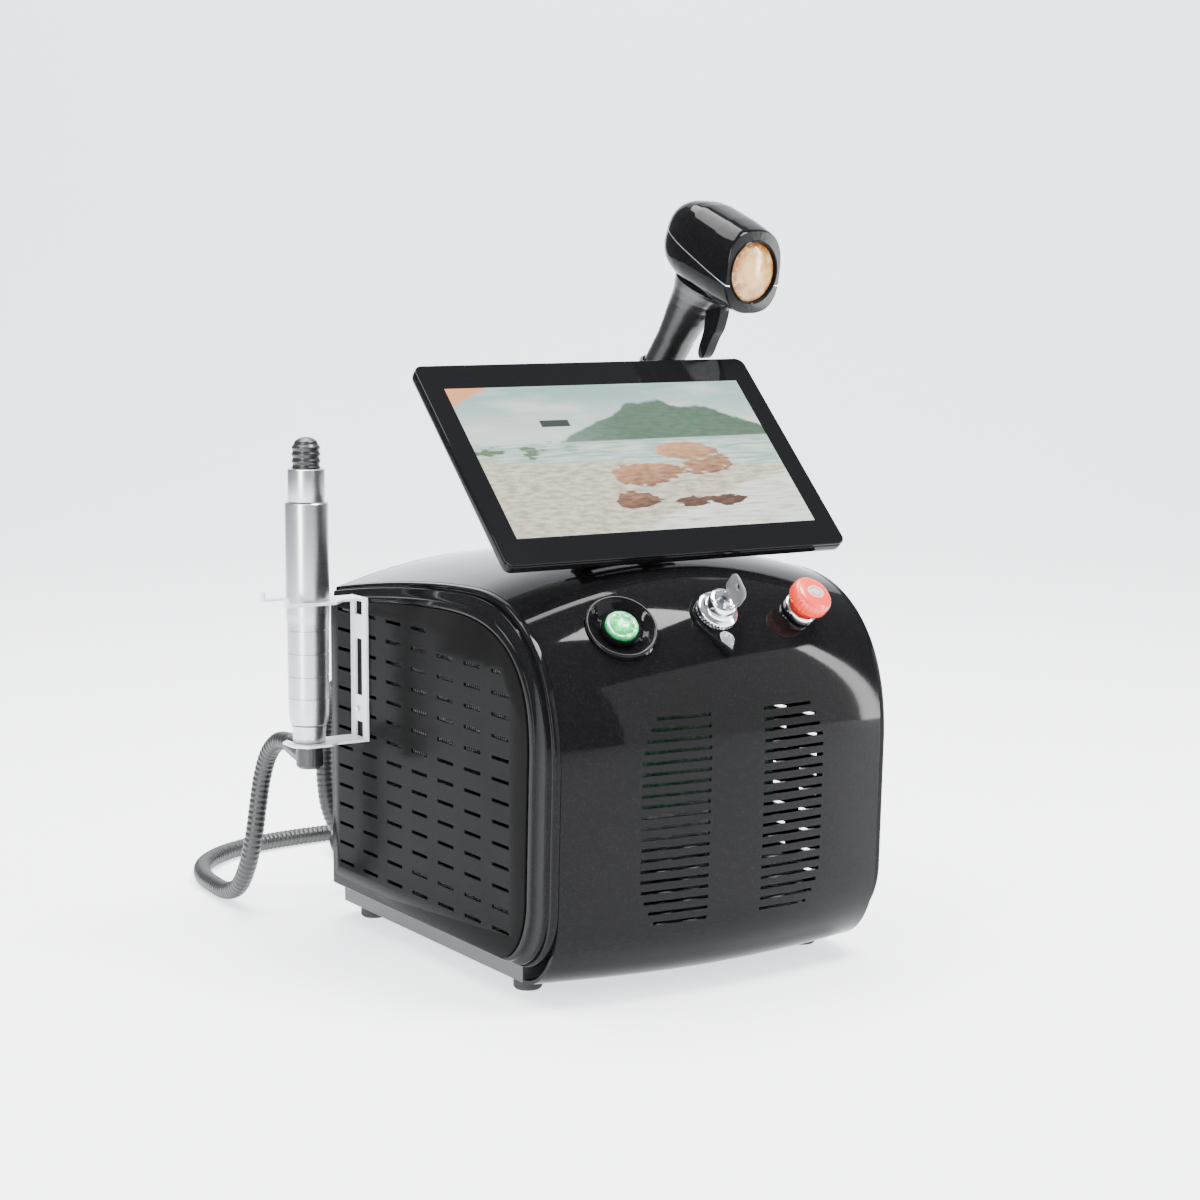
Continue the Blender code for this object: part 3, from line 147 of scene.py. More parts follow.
def material(name, **fixed):
    """A new material with these constants on its shader; returns it, its shader's sockets and a start
    for sums."""
    made = bpy.data.materials.new(name)
    made.use_nodes = True
    shader = made.node_tree.nodes["Principled BSDF"]
    for socket, value in fixed.items():
        shader.inputs[socket.replace("_", " ")].default_value = value
    return made, shader.inputs, Sock(made.node_tree)


def feed(socket, value):
    value.tree.links.new(value.socket, socket)


def relief(sockets, height, depth, strength=1.0):
    """Lets a height from 0 to 1 raise the surface by the depth through a bump."""
    feed(sockets["Normal"], height.node("ShaderNodeBump", {}, {"Strength": strength, "Distance": depth,
                                                              "Height": height}))


def painted(name, dark, light, rough, grain, depth):
    """A sprayed or moulded finish: colour and roughness drift with coarse noise, and fine noise is its
    grain."""
    made, sockets, start = material(name)
    drift = start.noise(14.0)
    fine = start.noise(grain, 2.0)
    feed(sockets["Base Color"], start.mix(drift * 0.6 + fine * 0.4, dark, light))
    feed(sockets["Roughness"], drift * rough[1] + rough[0])
    relief(sockets, fine, depth)
    return made


def wear(made, *names):
    """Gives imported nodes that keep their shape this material."""
    for name in names:
        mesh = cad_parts[name].data
        mesh.materials.clear()
        mesh.materials.append(made)


dark_steel = painted("tray_powder_coat", (0.022, 0.022, 0.023), (0.040, 0.040, 0.042), (0.34, 0.16), 2600.0,
                     0.00004)
black_rubber = painted("foot_rubber", (0.012, 0.012, 0.012), (0.026, 0.026, 0.025), (0.62, 0.24), 1800.0,
                       0.00006)
wear(dark_steel, "base_tray")
wear(black_rubber, "foot_front_left", "foot_front_right", "foot_rear_left", "foot_rear_right")

# ---- inside the cabinet --------------------------------------------------------------------------
# Tank, pump, radiator, fans, power supply and boards stand on the tray. Little of them shows: edges
# behind the slots and louvres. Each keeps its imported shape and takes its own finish.
module_black = painted("module_black", (0.008, 0.008, 0.008), (0.018, 0.018, 0.018), (0.45, 0.20), 1500.0,
                       0.00005)
wear(module_black, "water_pump", "left_fan_frame", "left_fan_rotor", "right_fan_frame", "right_fan_rotor")
wear(painted("tank_plastic", (0.34, 0.37, 0.37), (0.46, 0.50, 0.50), (0.38, 0.14), 900.0, 0.00003),
     "water_tank")
wear(painted("module_steel", (0.10, 0.10, 0.105), (0.17, 0.17, 0.175), (0.32, 0.18), 1200.0, 0.00002),
     "power_supply", "driver_module")
board, board_in, board_start = material("circuit_board", Roughness=0.45)
track = board_start.noise(420.0, 0.0, (1, 1, 0.2)) > 0.56
feed(board_in["Base Color"], board_start.mix(track, (0.008, 0.075, 0.03), (0.03, 0.15, 0.06)))
relief(board_in, track, 0.00004)
wear(board, "control_board")
# Radiator: stripes along X give bright metal fins with painted shade, near black, in the gaps between them;
# the bump raises the fins.
finned, finned_in, finned_start = material("radiator_fins", Metallic=1.0, Roughness=0.38)
fin_share = finned_start.node("ShaderNodeMath", {"operation": "PINGPONG"},
                              {0: finned_start.axis("X"), 1: 0.001})
fin = (fin_share * 1000.0).ramp(0.15, 0.5)
feed(finned_in["Base Color"], finned_start.mix(fin, (0.02, 0.02, 0.02), (0.48, 0.48, 0.50)))
relief(finned_in, fin, 0.0006)
wear(finned, "radiator")

# ---- front shell ---------------------------------------------------------------------------------
# One moulded cover from the rear edge over the top and brow, down the front and under to the tray. Deep
# black lacquer; two fields of louvres are cut in its front, and bores for the controls and the two
# posts.
left_low, right_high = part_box("left_side_panel")[0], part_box("right_side_panel")[1]
MIDDLE_X, REAR_Y = (left_low.x + right_high.x) / 2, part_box("rear_panel")[1].y
CONSOLE = Matrix.Translation((MIDDLE_X, REAR_Y, 0))
HALF_WIDTH, SHELL_WALL, SHELL_BACK = 0.156, 0.003, -0.0023
CREST, FRONT_Y, BROW_Z, CHIN = (-0.250, 0.325), -0.383, 0.192, (-0.379, 0.084)
SHELL_REAR_Z, LIP = 0.2995, (-0.324, 0.012)
CROWN_TOP, CROWN_FRONT, BROW_POWER, BROW_PARTS = 0.024, 0.017, 2.3, 12


def brow(crest, front_y, brow_z, power, count):
    """Superellipse quarter from the crest to the front: y and z run with sin and cos raised to 2 / power."""
    turn = np.linspace(0, math.pi / 2, count)
    return np.column_stack([crest[0] + (front_y - crest[0]) * np.sin(turn) ** (2 / power),
                            brow_z + (crest[1] - brow_z) * np.abs(np.cos(turn)) ** (2 / power)])


def chin(start, end, count):
    """Ellipse quarter from the front face round to the underside, without its first point."""
    turn = np.linspace(0, math.pi / 2, count)[1:]
    return np.column_stack([end[0] + (start[0] - end[0]) * np.cos(turn),
                            start[1] + (end[1] - start[1]) * np.sin(turn)])


def grid_mesh(name, grid, finish, wrap=(False, False), smooth=40, cap=False):
    """A mesh from a grid of points, rows by columns by 3. wrap joins the last row or column to the
    first, and cap closes the first and last row with a face each. Its doubles are merged and its faces
    turned outwards."""
    rows, columns = grid.shape[:2]
    index = np.arange(rows * columns).reshape(rows, columns)
    r = np.arange(rows if wrap[0] else rows - 1)[:, None]
    c = np.arange(columns if wrap[1] else columns - 1)[None, :]
    below, right = (r + 1) % rows, (c + 1) % columns
    quads = np.stack([index[r, c], index[r, right], index[below, right], index[below, c]],
                     axis=-1).reshape(-1, 4)
    faces = quads.tolist()
    if cap:
        faces += [index[0, ::-1].tolist(), index[-1].tolist()]
    mesh = bpy.data.meshes.new(name)
    mesh.from_pydata(grid.reshape(-1, 3).tolist(), [], faces)
    return mesh_piece(name, mesh, finish, smooth)


def mesh_piece(name, mesh, finish, smooth=40):
    """Merges doubles, turns faces outwards, marks edges over the smooth angle sharp and makes the object."""
    body = bmesh.new()
    body.from_mesh(mesh)
    bmesh.ops.remove_doubles(body, verts=body.verts, dist=1e-6)
    bmesh.ops.recalc_face_normals(body, faces=body.faces)
    body.to_mesh(mesh)
    body.free()
    mesh.shade_smooth()
    mesh.set_sharp_from_angle(angle=math.radians(smooth))
    made = bpy.data.objects.new(name, mesh)
    bpy.context.scene.collection.objects.link(made)
    mesh.materials.append(finish)
    return made


def moved(grid, matrix):
    """The grid's points under the matrix."""
    turn = np.array(matrix)
    return grid @ turn[:3, :3].T + turn[:3, 3]


def shell_grid(along, across, depth):
    """The shell's side line carried across the width: each point moves out along the line's normal by
    the crown height there times 1 - (x / half width) squared, less the depth."""
    share = np.linspace(0, 1, 12, endpoint=False)
    top = np.column_stack([SHELL_BACK + (CREST[0] - SHELL_BACK) * share,
                           SHELL_REAR_Z + (CREST[1] - SHELL_REAR_Z) * (1 - (1 - share) ** 1.6)])
    curve = brow(CREST, FRONT_Y, BROW_Z, BROW_POWER, along)
    face = curve[-1] + (np.array(CHIN) - curve[-1]) * np.linspace(0, 1, 14)[1:, None]
    under = chin(CHIN, LIP, 24)
    line = np.vstack([top, curve, face, under])
    crown = np.concatenate([np.full(len(top), CROWN_TOP), np.linspace(CROWN_TOP, CROWN_FRONT, along),
                            np.full(len(face), CROWN_FRONT),
                            CROWN_FRONT * (1 - np.linspace(0, 1, 24)[1:] ** 2)])
    slope = np.gradient(line, axis=0)
    slope /= np.linalg.norm(slope, axis=1, keepdims=True)
    normal = np.column_stack([slope[:, 1], -slope[:, 0]])
    normal[0] = (0, 1)
    x = HALF_WIDTH * np.linspace(-1, 1, across)
    out = crown[:, None] * (1 - (x / HALF_WIDTH) ** 2) - depth
    return np.stack([np.broadcast_to(x, out.shape), line[:, :1] + normal[:, :1] * out,
                     line[:, 1:] + normal[:, 1:] * out], axis=-1)


def turned(profile, sides, matrix=Matrix.Identity(4), ring=False):
    """A profile of (radius, height) pairs turned about Z: x and y are the radius times cos and sin of
    the turn."""
    profile = np.array(profile, float)
    angle = np.linspace(0, 2 * math.pi, sides, endpoint=False)
    grid = np.stack([profile[:, :1] * np.cos(angle), profile[:, :1] * np.sin(angle),
                     np.repeat(profile[:, 1:], sides, axis=1)], axis=-1)
    return moved(grid, CONSOLE @ matrix)


def slab_blocks(centres, sizes):
    """Points and faces of upright blocks with these centres and sizes, for one cutter."""
    corners = np.array([(x, y, z) for x in (-0.5, 0.5) for y in (-0.5, 0.5) for z in (-0.5, 0.5)])
    points = (np.array(centres)[:, None, :] + corners * np.array(sizes)[:, None, :]).reshape(-1, 3)
    sides = np.array([(0, 1, 3, 2), (4, 6, 7, 5), (0, 4, 5, 1), (2, 3, 7, 6), (0, 2, 6, 4), (1, 5, 7, 3)])
    faces = (sides + 8 * np.arange(len(centres))[:, None, None]).reshape(-1, 4)
    return moved(points, CONSOLE), faces.tolist()


def cut(target, *tools, operation="DIFFERENCE"):
    """Cuts these objects from the target with Booleans, keeps the result as plain mesh and deletes the
    tools."""
    for tool in tools:
        change = target.modifiers.new("cut", "BOOLEAN")
        change.operation, change.object = operation, tool
    graph = bpy.context.evaluated_depsgraph_get()
    result = bpy.data.meshes.new_from_object(target.evaluated_get(graph))
    target.modifiers.clear()
    target.data = result
    result.shade_smooth()
    result.set_sharp_from_angle(angle=math.radians(40))
    for tool in tools:
        bpy.data.objects.remove(tool, do_unlink=True)
    return target


def cutter(centres, sizes):
    points, faces = slab_blocks(centres, sizes)
    mesh = bpy.data.meshes.new("cutter")
    mesh.from_pydata(points.tolist(), [], faces)
    return mesh_piece("cutter", mesh, lacquer)


def bore(radius, low, high, matrix, sides=64):
    return grid_mesh("bore", turned([(radius, low), (radius, high)], sides, matrix), lacquer, (False, True),
                     40, True)


def on_shell(turn, x):
    """A point of the brow at this share of its quarter turn, and the outward normal of the side line
    there."""
    line = brow(CREST, FRONT_Y, BROW_Z, BROW_POWER, BROW_PARTS + 1)
    k = round(turn * BROW_PARTS)
    slope = line[k + 1] - line[k - 1]
    normal = np.array([slope[1], -slope[0]]) / np.linalg.norm(slope)
    crown = CROWN_TOP + (CROWN_FRONT - CROWN_TOP) * k / BROW_PARTS
    out = crown * (1 - (x / HALF_WIDTH) ** 2)
    return Vector((x, line[k][0] + normal[0] * out, line[k][1] + normal[1] * out))


def control_place(x):
    """The frame a control stands in at x: origin on the brow, Z outwards and X along the shell."""
    along = (on_shell(0.5, x + 0.002) - on_shell(0.5, x - 0.002)).normalized()
    down = on_shell(0.5 + 1 / BROW_PARTS, x) - on_shell(0.5 - 1 / BROW_PARTS, x)
    out = down.cross(along).normalized()
    out = -out if out.z < 0 else out
    return Matrix.Translation(on_shell(0.5, x)) @ Matrix((along, out.cross(along),
                                                          out)).transposed().to_4x4()


lacquer, lacquer_in, lacquer_start = material("black_lacquer", Specular_IOR_Level=0.07, Coat_Roughness=0.03)
haze = lacquer_start.noise(9.0, 4.0)
peel = lacquer_start.noise(240.0, 1.0)
speck = lacquer_start.noise(2600.0, 0.0).ramp(0.76, 0.80)
feed(lacquer_in["Base Color"], lacquer_start.mix(speck, (0.0035, 0.0035, 0.0038), (0.05, 0.05, 0.05)))
feed(lacquer_in["Roughness"], haze * 0.07 + 0.03 + speck * 0.2)
feed(lacquer_in["Coat Weight"], 0.05 - haze * 0.04)
relief(lacquer_in, peel, 0.000012)

CONTROL_SPACING = 0.086
BUTTON, KEY, STOP = control_place(-CONTROL_SPACING), control_place(0.0), control_place(CONTROL_SPACING)
outside, inside = shell_grid(70, 72, 0.0), shell_grid(70, 72, SHELL_WALL)
shell = grid_mesh("cabinet_shell", moved(np.concatenate([outside, inside[:, ::-1]], axis=1), CONSOLE),
                  lacquer, (False, True), 40, True)
VENT_ROWS, VENT_PITCH, VENT_TOP, VENT_HEIGHT = 20, 0.00875, 0.231, 0.0027
VENT_INNER, VENT_OUTER = 0.0259, 0.088
rows = np.arange(VENT_ROWS)
edge = np.minimum(rows, VENT_ROWS - 1 - rows) * VENT_PITCH
vent_end = VENT_OUTER - 0.013 * np.maximum(0, 1 - edge / 0.030) ** 1.5
vent_x = (VENT_INNER + vent_end) / 2
vent_centres = [(side * x, FRONT_Y - 0.005, VENT_TOP - row * VENT_PITCH)
                for side in (-1, 1) for row, x in enumerate(vent_x)]
vent_sizes = [(end - VENT_INNER, 0.05, VENT_HEIGHT) for _ in (-1, 1) for end in vent_end]
SCREEN = Matrix.Translation((0, -0.239, 0.4255)) @ Matrix.Rotation(math.radians(43.5), 4, "X")
HINGE = SCREEN @ Vector((0, 0, -0.035))
post_low, post_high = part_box("gun_cradle_post")
GUN_POST = ((post_low.x + post_high.x) / 2 - MIDDLE_X, (post_low.y + post_high.y) / 2 - REAR_Y)
GUN_POST_RADIUS = (post_high.x - post_low.x) / 2
DISH_BORE, KEY_BORE, STOP_BORE, BORE_REACH = 0.0303, 0.0096, 0.0113, 0.03
cut(shell, cutter(vent_centres, vent_sizes), bore(DISH_BORE, -BORE_REACH, BORE_REACH, BUTTON),
    bore(KEY_BORE, -BORE_REACH, BORE_REACH, KEY), bore(STOP_BORE, -BORE_REACH, BORE_REACH, STOP),
    cutter([(HINGE.x, HINGE.y, 0.34)], [(0.0486, 0.0346, 0.08)]),
    bore(GUN_POST_RADIUS + 0.0003, 0.25, 0.40, Matrix.Translation((*GUN_POST, 0))))
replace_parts(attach(shell, "cabinet"), "front_shell")

# ---- side frames ---------------------------------------------------------------------------------
# A lacquered moulding runs round each slotted side: a rounded outer edge, a groove, a raised bead and a
# flat inner land against the panel. It is clipped to the shell's edge from inside.
PANEL_STAND_OFF, PANEL_SHEET, GAP = 0.0135, 0.002, 0.0003
PANEL_X = HALF_WIDTH + PANEL_STAND_OFF
TRAY_TOP = 0.0283


def side_line(inset, low, rear, count=44):
    """The side outline as (y, z) points, a mix of the panel's outline at inset 0 and the shell's edge
    at inset 1."""
    def mix(panel, shell):
        return panel + (shell - panel) * inset
    crest, rear_z = (mix(-0.224, CREST[0]), mix(0.3035, CREST[1])), mix(0.285, SHELL_REAR_Z)
    side_chin = (mix(-0.348, CHIN[0]), mix(0.087, CHIN[1]))
    share = np.linspace(0, 1, 10, endpoint=False)
    top = np.column_stack([rear + (crest[0] - rear) * share,
                           rear_z + (crest[1] - rear_z) * (1 - (1 - share) ** 1.6)])
    curve = brow(crest, mix(-0.3525, FRONT_Y), mix(0.204, BROW_Z), mix(2.6, BROW_POWER), count)
    under = chin(side_chin, (mix(-0.304, -0.330), low), 20)
    return np.vstack([top, curve, side_chin, under, (rear, low)])


def inward(line, amount):
    """The outline scaled about its middle, so that its sides move in by about the amount."""
    low, high = line.min(axis=0), line.max(axis=0)
    return (low + high) / 2 + (line - (low + high) / 2) * (1 - 2 * amount / (high - low))


def side_grid(stations, side):
    """One row of points for each station, an outline and its distance from the middle plane."""
    rows = [np.column_stack([np.full(len(line), side * x), line]) for line, x in stations]
    return moved(np.array(rows), CONSOLE)


moulding = [(0.985, 0.0002), (0.985, 0.0030), (0.978, 0.0041), (0.962, 0.0050), (0.935, 0.0056),
            (0.900, 0.0059), (0.860, 0.0060), (0.840, 0.0056), (0.828, 0.0048), (0.800, 0.0044),
            (0.770, 0.0044), (0.752, 0.0052), (0.742, 0.0068), (0.720, 0.0079), (0.690, 0.0084),
            (0.640, 0.0086), (0.560, 0.0088), (0.440, 0.0092), (0.330, 0.0098), (0.300, 0.0103),
            (0.285, 0.0110), (0.255, 0.0116), (0.200, 0.0119), (0.100, 0.0121), (0.040, 0.0121),
            (0.010, 0.0118), (0.0, 0.0112)]
for side, word in ((-1, "left"), (1, "right")):
    stations = []
    for inset, rise in moulding:
        line = side_line(inset, TRAY_TOP + (1 - inset) * 0.0027, -0.0025 - (1 - inset) * 0.0035)
        stations.append((line, HALF_WIDTH + GAP + rise - 0.0003))
    window = inward(side_line(0.0, TRAY_TOP + 0.0027, -0.0060), 0.014)
    stations += [(window, HALF_WIDTH + 0.0110), (window, HALF_WIDTH + GAP)]
    rail = grid_mesh(f"{word}_side_moulding", side_grid(stations, side), lacquer, (True, True), 28)
    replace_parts(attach(rail, "cabinet"), f"{word}_side_frame")

# ---- side panels ---------------------------------------------------------------------------------
# A sheet with a satin-gloss black coat on each side, laser cut with rows of short cooling slots and
# bonded into the moulding. The edge of the sheet is slightly broken.
satin, satin_in, satin_start = material("panel_satin_black", Specular_IOR_Level=0.012)
panel_haze = satin_start.noise(16.0, 4.0)
feed(satin_in["Base Color"], satin_start.mix(panel_haze, (0.005, 0.005, 0.005), (0.010, 0.010, 0.010)))
feed(satin_in["Roughness"], panel_haze * 0.10 + 0.14)
relief(satin_in, satin_start.noise(700.0, 2.0), 0.00001)
SLOT_LENGTH, SLOT_HEIGHT, SLOT_PITCH_Y, SLOT_PITCH_Z = 0.0275, 0.003, 0.0459, 0.0175
for side, word in ((-1, "left"), (1, "right")):
    sheet_edge = side_line(0.0, 0.031, -0.006)
    flat, broken = inward(sheet_edge, 0.0004), inward(sheet_edge, 0.0009)
    stations = [(broken, PANEL_X - PANEL_SHEET), (flat, PANEL_X - PANEL_SHEET + 0.0003),
                (flat, PANEL_X - 0.0004), (broken, PANEL_X)]
    panel = grid_mesh(f"{word}_slotted_panel", side_grid(stations, side), satin, (False, True), 28, True)
    centres, sizes = [], []
    for column in range(7):
        for row in range(14 if column < 4 else 13):
            short = 0.012 if column == 6 and row == 12 else 0.0
            centres.append((side * PANEL_X, -0.035 - column * SLOT_PITCH_Y + short / 2,
                            0.0543 + row * SLOT_PITCH_Z))
            sizes.append((0.02, SLOT_LENGTH - short, SLOT_HEIGHT))
    cut(panel, cutter(centres, sizes))
    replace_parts(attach(panel, "cabinet"), f"{word}_side_panel")

# ---- rear panel and its fittings -----------------------------------------------------------------
# Folded steel sheet in dark powder coat with fan louvres, a mains inlet with a rocker switch, a filler
# for the cooling water and the gland where the hose leaves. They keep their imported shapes.
wear(dark_steel, "rear_panel")
wear(module_black, "power_inlet", "filler_neck", "filler_cap", "hose_gland")
red_switch = painted("switch_red", (0.42, 0.010, 0.008), (0.55, 0.020, 0.014), (0.24, 0.10), 900.0, 0.00001)
wear(red_switch, "power_switch_rocker")

# ---- start button --------------------------------------------------------------------------------
# A green lens lit from behind, set in a dish of polished black plastic with a rolled rim. The dish is
# screwed from inside against the brow, and the lens slides in its bore on a spring.
dish_line = [(0.0150, -0.0200), (0.0210, -0.0200), (0.0296, -0.0100), (0.0296, 0.0004), (0.0299, 0.0012),
             (0.0294, 0.0022), (0.0286, 0.0026), (0.0277, 0.0024), (0.0268, 0.0016), (0.0255, 0.0004),
             (0.0235, -0.0014), (0.0212, -0.0032), (0.0190, -0.0043), (0.0170, -0.0048), (0.0148, -0.0050),
             (0.0146, -0.0054)]
dish = grid_mesh("start_dish", turned(dish_line, 96, BUTTON, ring=True), lacquer, (True, True))
bezel_line = [(0.0145, -0.0055), (0.0162, -0.0050), (0.0166, -0.0040), (0.0164, 0.0010), (0.0160, 0.0018),
              (0.0152, 0.0020), (0.0146, 0.0016), (0.0144, 0.0006)]
bezel = grid_mesh("start_bezel", turned(bezel_line, 96, BUTTON, ring=True), lacquer, (True, True))
for piece in (dish, bezel):
    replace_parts(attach(piece, "cabinet"), "start_button_dish")
lens_green, green_in, green_start = material("lit_green_lens", Roughness=0.12, Coat_Weight=0.15, IOR=1.49,
                                             Emission_Strength=0.5)
SHELL_TO_BUTTON = (CONSOLE @ BUTTON).inverted()


def local(start, matrix, name):
    """One coordinate of the place in a piece's own frame, from a Mapping node with that frame's inverse."""
    spot = matrix.to_translation()
    turn = matrix.to_euler()
    made = start.node("ShaderNodeMapping", {"vector_type": "POINT"},
                      {"Vector": start.place(), "Location": spot, "Rotation": turn})
    return start.node("ShaderNodeSeparateXYZ", {}, {0: made}, "XYZ".index(name))


across, upwards = local(green_start, SHELL_TO_BUTTON, "X"), local(green_start, SHELL_TO_BUTTON, "Y")
spread = green_start.maths("SQRT", across * across + upwards * upwards)
swirl = green_start.noise(190.0, 2.0).ramp(0.42, 0.60)
glow = (1 - spread.ramp(0.002, 0.0135) * 0.75) * (0.55 + swirl * 0.45)
feed(green_in["Base Color"], green_start.mix(glow, (0.0, 0.09, 0.02), (0.01, 0.55, 0.16)))
feed(green_in["Emission Color"], green_start.mix(glow, (0.0, 0.05, 0.01), (0.02, 1.0, 0.28)))
relief(green_in, swirl, 0.0003)
lens_line = [(0.0, -0.0200), (0.0125, -0.0200), (0.0139, -0.0188), (0.0139, 0.0024), (0.0136, 0.0033),
             (0.0129, 0.0038), (0.0120, 0.0039), (0.0112, 0.0036), (0.0100, 0.0038), (0.0075, 0.0044),
             (0.0045, 0.0049), (0.0, 0.0051)]
lens_piece = grid_mesh("start_lens", turned(lens_line, 72, BUTTON), lens_green, (False, True))
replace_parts(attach(lens_piece, "start_button"), "start_button")

# ---- key switch ----------------------------------------------------------------------------------
# A plated lock barrel in two steps with a knurled collar, on a polished black teardrop plate. The key
# is a flat steel blade with a moulded bow, standing in the slot.
plating, plating_in, plating_start = material("bright_plating", Metallic=1.0)
smudge = plating_start.noise(90.0, 4.0)
feed(plating_in["Base Color"], plating_start.mix(smudge, (0.58, 0.59, 0.61), (0.80, 0.81, 0.83)))
feed(plating_in["Roughness"], smudge * 0.16 + 0.05)


def teardrop(radius, point, count=72):
    """A circle drawn out to a point on -Y by its two tangents: an arc between the touching points, then
    the point."""
    touch = math.asin(radius / point)
    turn = np.linspace(-touch, math.pi + touch, count)
    return np.vstack([np.column_stack([radius * np.cos(turn), radius * np.sin(turn)]), (0, -point)])


def plate_grid(outline, stations, matrix):
    """The outline repeated at each station's height, scaled about the middle to stand in by the
    station's inset."""
    reach = np.abs(outline).max()
    rows = [np.column_stack([outline * (1 - inset / reach), np.full(len(outline), z)])
            for inset, z in stations]
    return moved(np.array(rows), CONSOLE @ matrix)


drop = teardrop(0.0215, 0.038)
plate = grid_mesh("key_teardrop",
                  plate_grid(drop, [(0, -0.010), (0, 0.0010), (0.0003, 0.0017), (0.0010, 0.0022)], KEY),
                  lacquer, (False, True), 30, True)
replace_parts(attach(plate, "cabinet"), "key_switch_plate")
plate_tip = grid_mesh("key_plate_tip",
                      plate_grid(drop * 0.30 + (0, -0.0250), [(0, 0.0020), (0, 0.0023), (0.0004, 0.0026)],
                                                  KEY), plating, (False, True), 30, True)
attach(plate_tip, "cabinet")
barrel_line = [(0.0, -0.0190), (0.0094, -0.0190), (0.0094, 0.0022), (0.0170, 0.0022), (0.0175, 0.0027),
               (0.0175, 0.0078), (0.0170, 0.0086), (0.0150, 0.0093), (0.0136, 0.0098), (0.0132, 0.0108),
               (0.0128, 0.0116), (0.0122, 0.0120), (0.0122, 0.0186), (0.0117, 0.0198), (0.0106, 0.0204),
               (0.0082, 0.0203), (0.0072, 0.0198), (0.0055, 0.0196), (0.0052, 0.0150), (0.0, 0.0150)]
barrel_grid = turned(barrel_line, 144, KEY)
barrel = grid_mesh("key_barrel", barrel_grid, plating, (False, True), 30)
GROOVES, GROOVE_RADIUS, GROOVE_SIDES, GROOVE_REACH = 36, 0.0009, 6, 0.0021
corner_turn = np.linspace(0, math.tau, GROOVE_SIDES, endpoint=False)
groove = GROOVE_RADIUS * np.column_stack([np.cos(corner_turn), np.sin(corner_turn)])
groove_ends = np.stack([np.column_stack([groove, np.full(GROOVE_SIDES, z)])
                        for z in (-GROOVE_REACH, GROOVE_REACH)])
points = []
for k in range(GROOVES):
    spot = KEY @ Matrix.Rotation(math.tau * k / GROOVES, 4, "Z") @ Matrix.Translation((0.0176, 0, 0.0052))
    points += moved(groove_ends, CONSOLE @ spot).reshape(-1, 3).tolist()
ring = np.arange(GROOVE_SIDES)
ahead = (ring + 1) % GROOVE_SIDES
side_faces = np.stack([ring, ahead, ahead + GROOVE_SIDES, ring + GROOVE_SIDES], axis=-1)
first = 2 * GROOVE_SIDES * np.arange(GROOVES)[:, None]
faces = (side_faces + first[:, :, None]).reshape(-1, 4).tolist()
faces += (ring[::-1] + first).tolist() + (ring + GROOVE_SIDES + first).tolist()
knurl = bpy.data.meshes.new("knurl")
knurl.from_pydata(points, [], faces)
cut(barrel, mesh_piece("knurl", knurl, plating))
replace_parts(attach(barrel, "cabinet"), "key_switch_barrel")
bow_finish = painted("key_bow_moulding", (0.05, 0.05, 0.052), (0.11, 0.11, 0.115), (0.26, 0.14), 1500.0,
                     0.00003)


def round_box(width, height, radius, steps=10):
    """A rectangle with round corners as (x, y) points: four quarter circles joined in order."""
    turn = (np.arange(4)[:, None] + np.linspace(0, 1, steps)) * math.pi / 2
    signs = np.array([(1, 1), (-1, 1), (-1, -1), (1, -1)])
    middle = signs[:, None, :] * (width / 2 - radius, height / 2 - radius)
    return (middle + radius * np.stack([np.cos(turn), np.sin(turn)], axis=-1)).reshape(-1, 2)


BOW = KEY @ Matrix.Translation((0, -0.004, 0.0385)) @ Matrix.Rotation(math.pi / 2, 4, "Y")
bow_sides = [(0.0006, -0.0013), (0, -0.0008), (0, 0.0008), (0.0006, 0.0013)]
bow = grid_mesh("key_bow", plate_grid(round_box(0.020, 0.024, 0.006), bow_sides, BOW), bow_finish,
                (False, True), 30, True)
cut(bow, bore(0.0032, -0.01, 0.01, BOW @ Matrix.Translation((-0.0045, 0, 0)), 32))
blade_sides = [(0.0002, 0.0068), (0, 0.0072), (0, 0.0300)]
blade = grid_mesh("key_blade", plate_grid(round_box(0.0022, 0.0084, 0.0005, 4), blade_sides, KEY), plating,
                  (False, True), 30, True)
for piece in (bow, blade):
    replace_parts(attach(piece, "key"), "key")

# ---- stop button ---------------------------------------------------------------------------------
# A red moulded mushroom head with a ribbed skirt and a grey oval inlay, on a plated collar screwed to
# the brow.
stop_red = painted("stop_head_red", (0.60, 0.030, 0.014), (0.78, 0.055, 0.028), (0.20, 0.12), 900.0, 0.00001)
head_line = [(0.0, -0.0155), (0.0064, -0.0155), (0.0067, -0.0150), (0.0067, 0.0132), (0.0142, 0.0131),
             (0.0156, 0.0134), (0.0172, 0.0146), (0.0179, 0.0156), (0.0179, 0.0222), (0.0176, 0.0238),
             (0.0168, 0.0254), (0.0155, 0.0265), (0.0135, 0.0272), (0.0110, 0.0276), (0.0070, 0.0279),
             (0.0, 0.0280)]
RIBS, RIB_DEPTH, HEAD_SIDES = 30, 0.035, 180
rib_turn = np.linspace(0, 2 * math.pi, HEAD_SIDES, endpoint=False)
rib = 1 - RIB_DEPTH * (0.5 + 0.5 * np.cos(RIBS * rib_turn))
skirt = np.array([0, 0, 0, 0, 0, 0, 1, 1, 1, 1, 0.5, 0, 0, 0, 0, 0])[:, None]
flat_head = np.array(head_line)
swell = flat_head[:, :1] * (1 - skirt * (1 - rib))
ribbed_head = np.stack([swell * np.cos(rib_turn), swell * np.sin(rib_turn),
                        np.repeat(flat_head[:, 1:], HEAD_SIDES, 1)], axis=-1)
stop_head = grid_mesh("stop_head", moved(ribbed_head, CONSOLE @ STOP), stop_red, (False, True), 50)
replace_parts(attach(stop_head, "stop_button"), "stop_button")
inlay_finish = painted("stop_inlay_grey", (0.30, 0.29, 0.29), (0.42, 0.41, 0.41), (0.35, 0.10), 900.0,
                       0.00001)
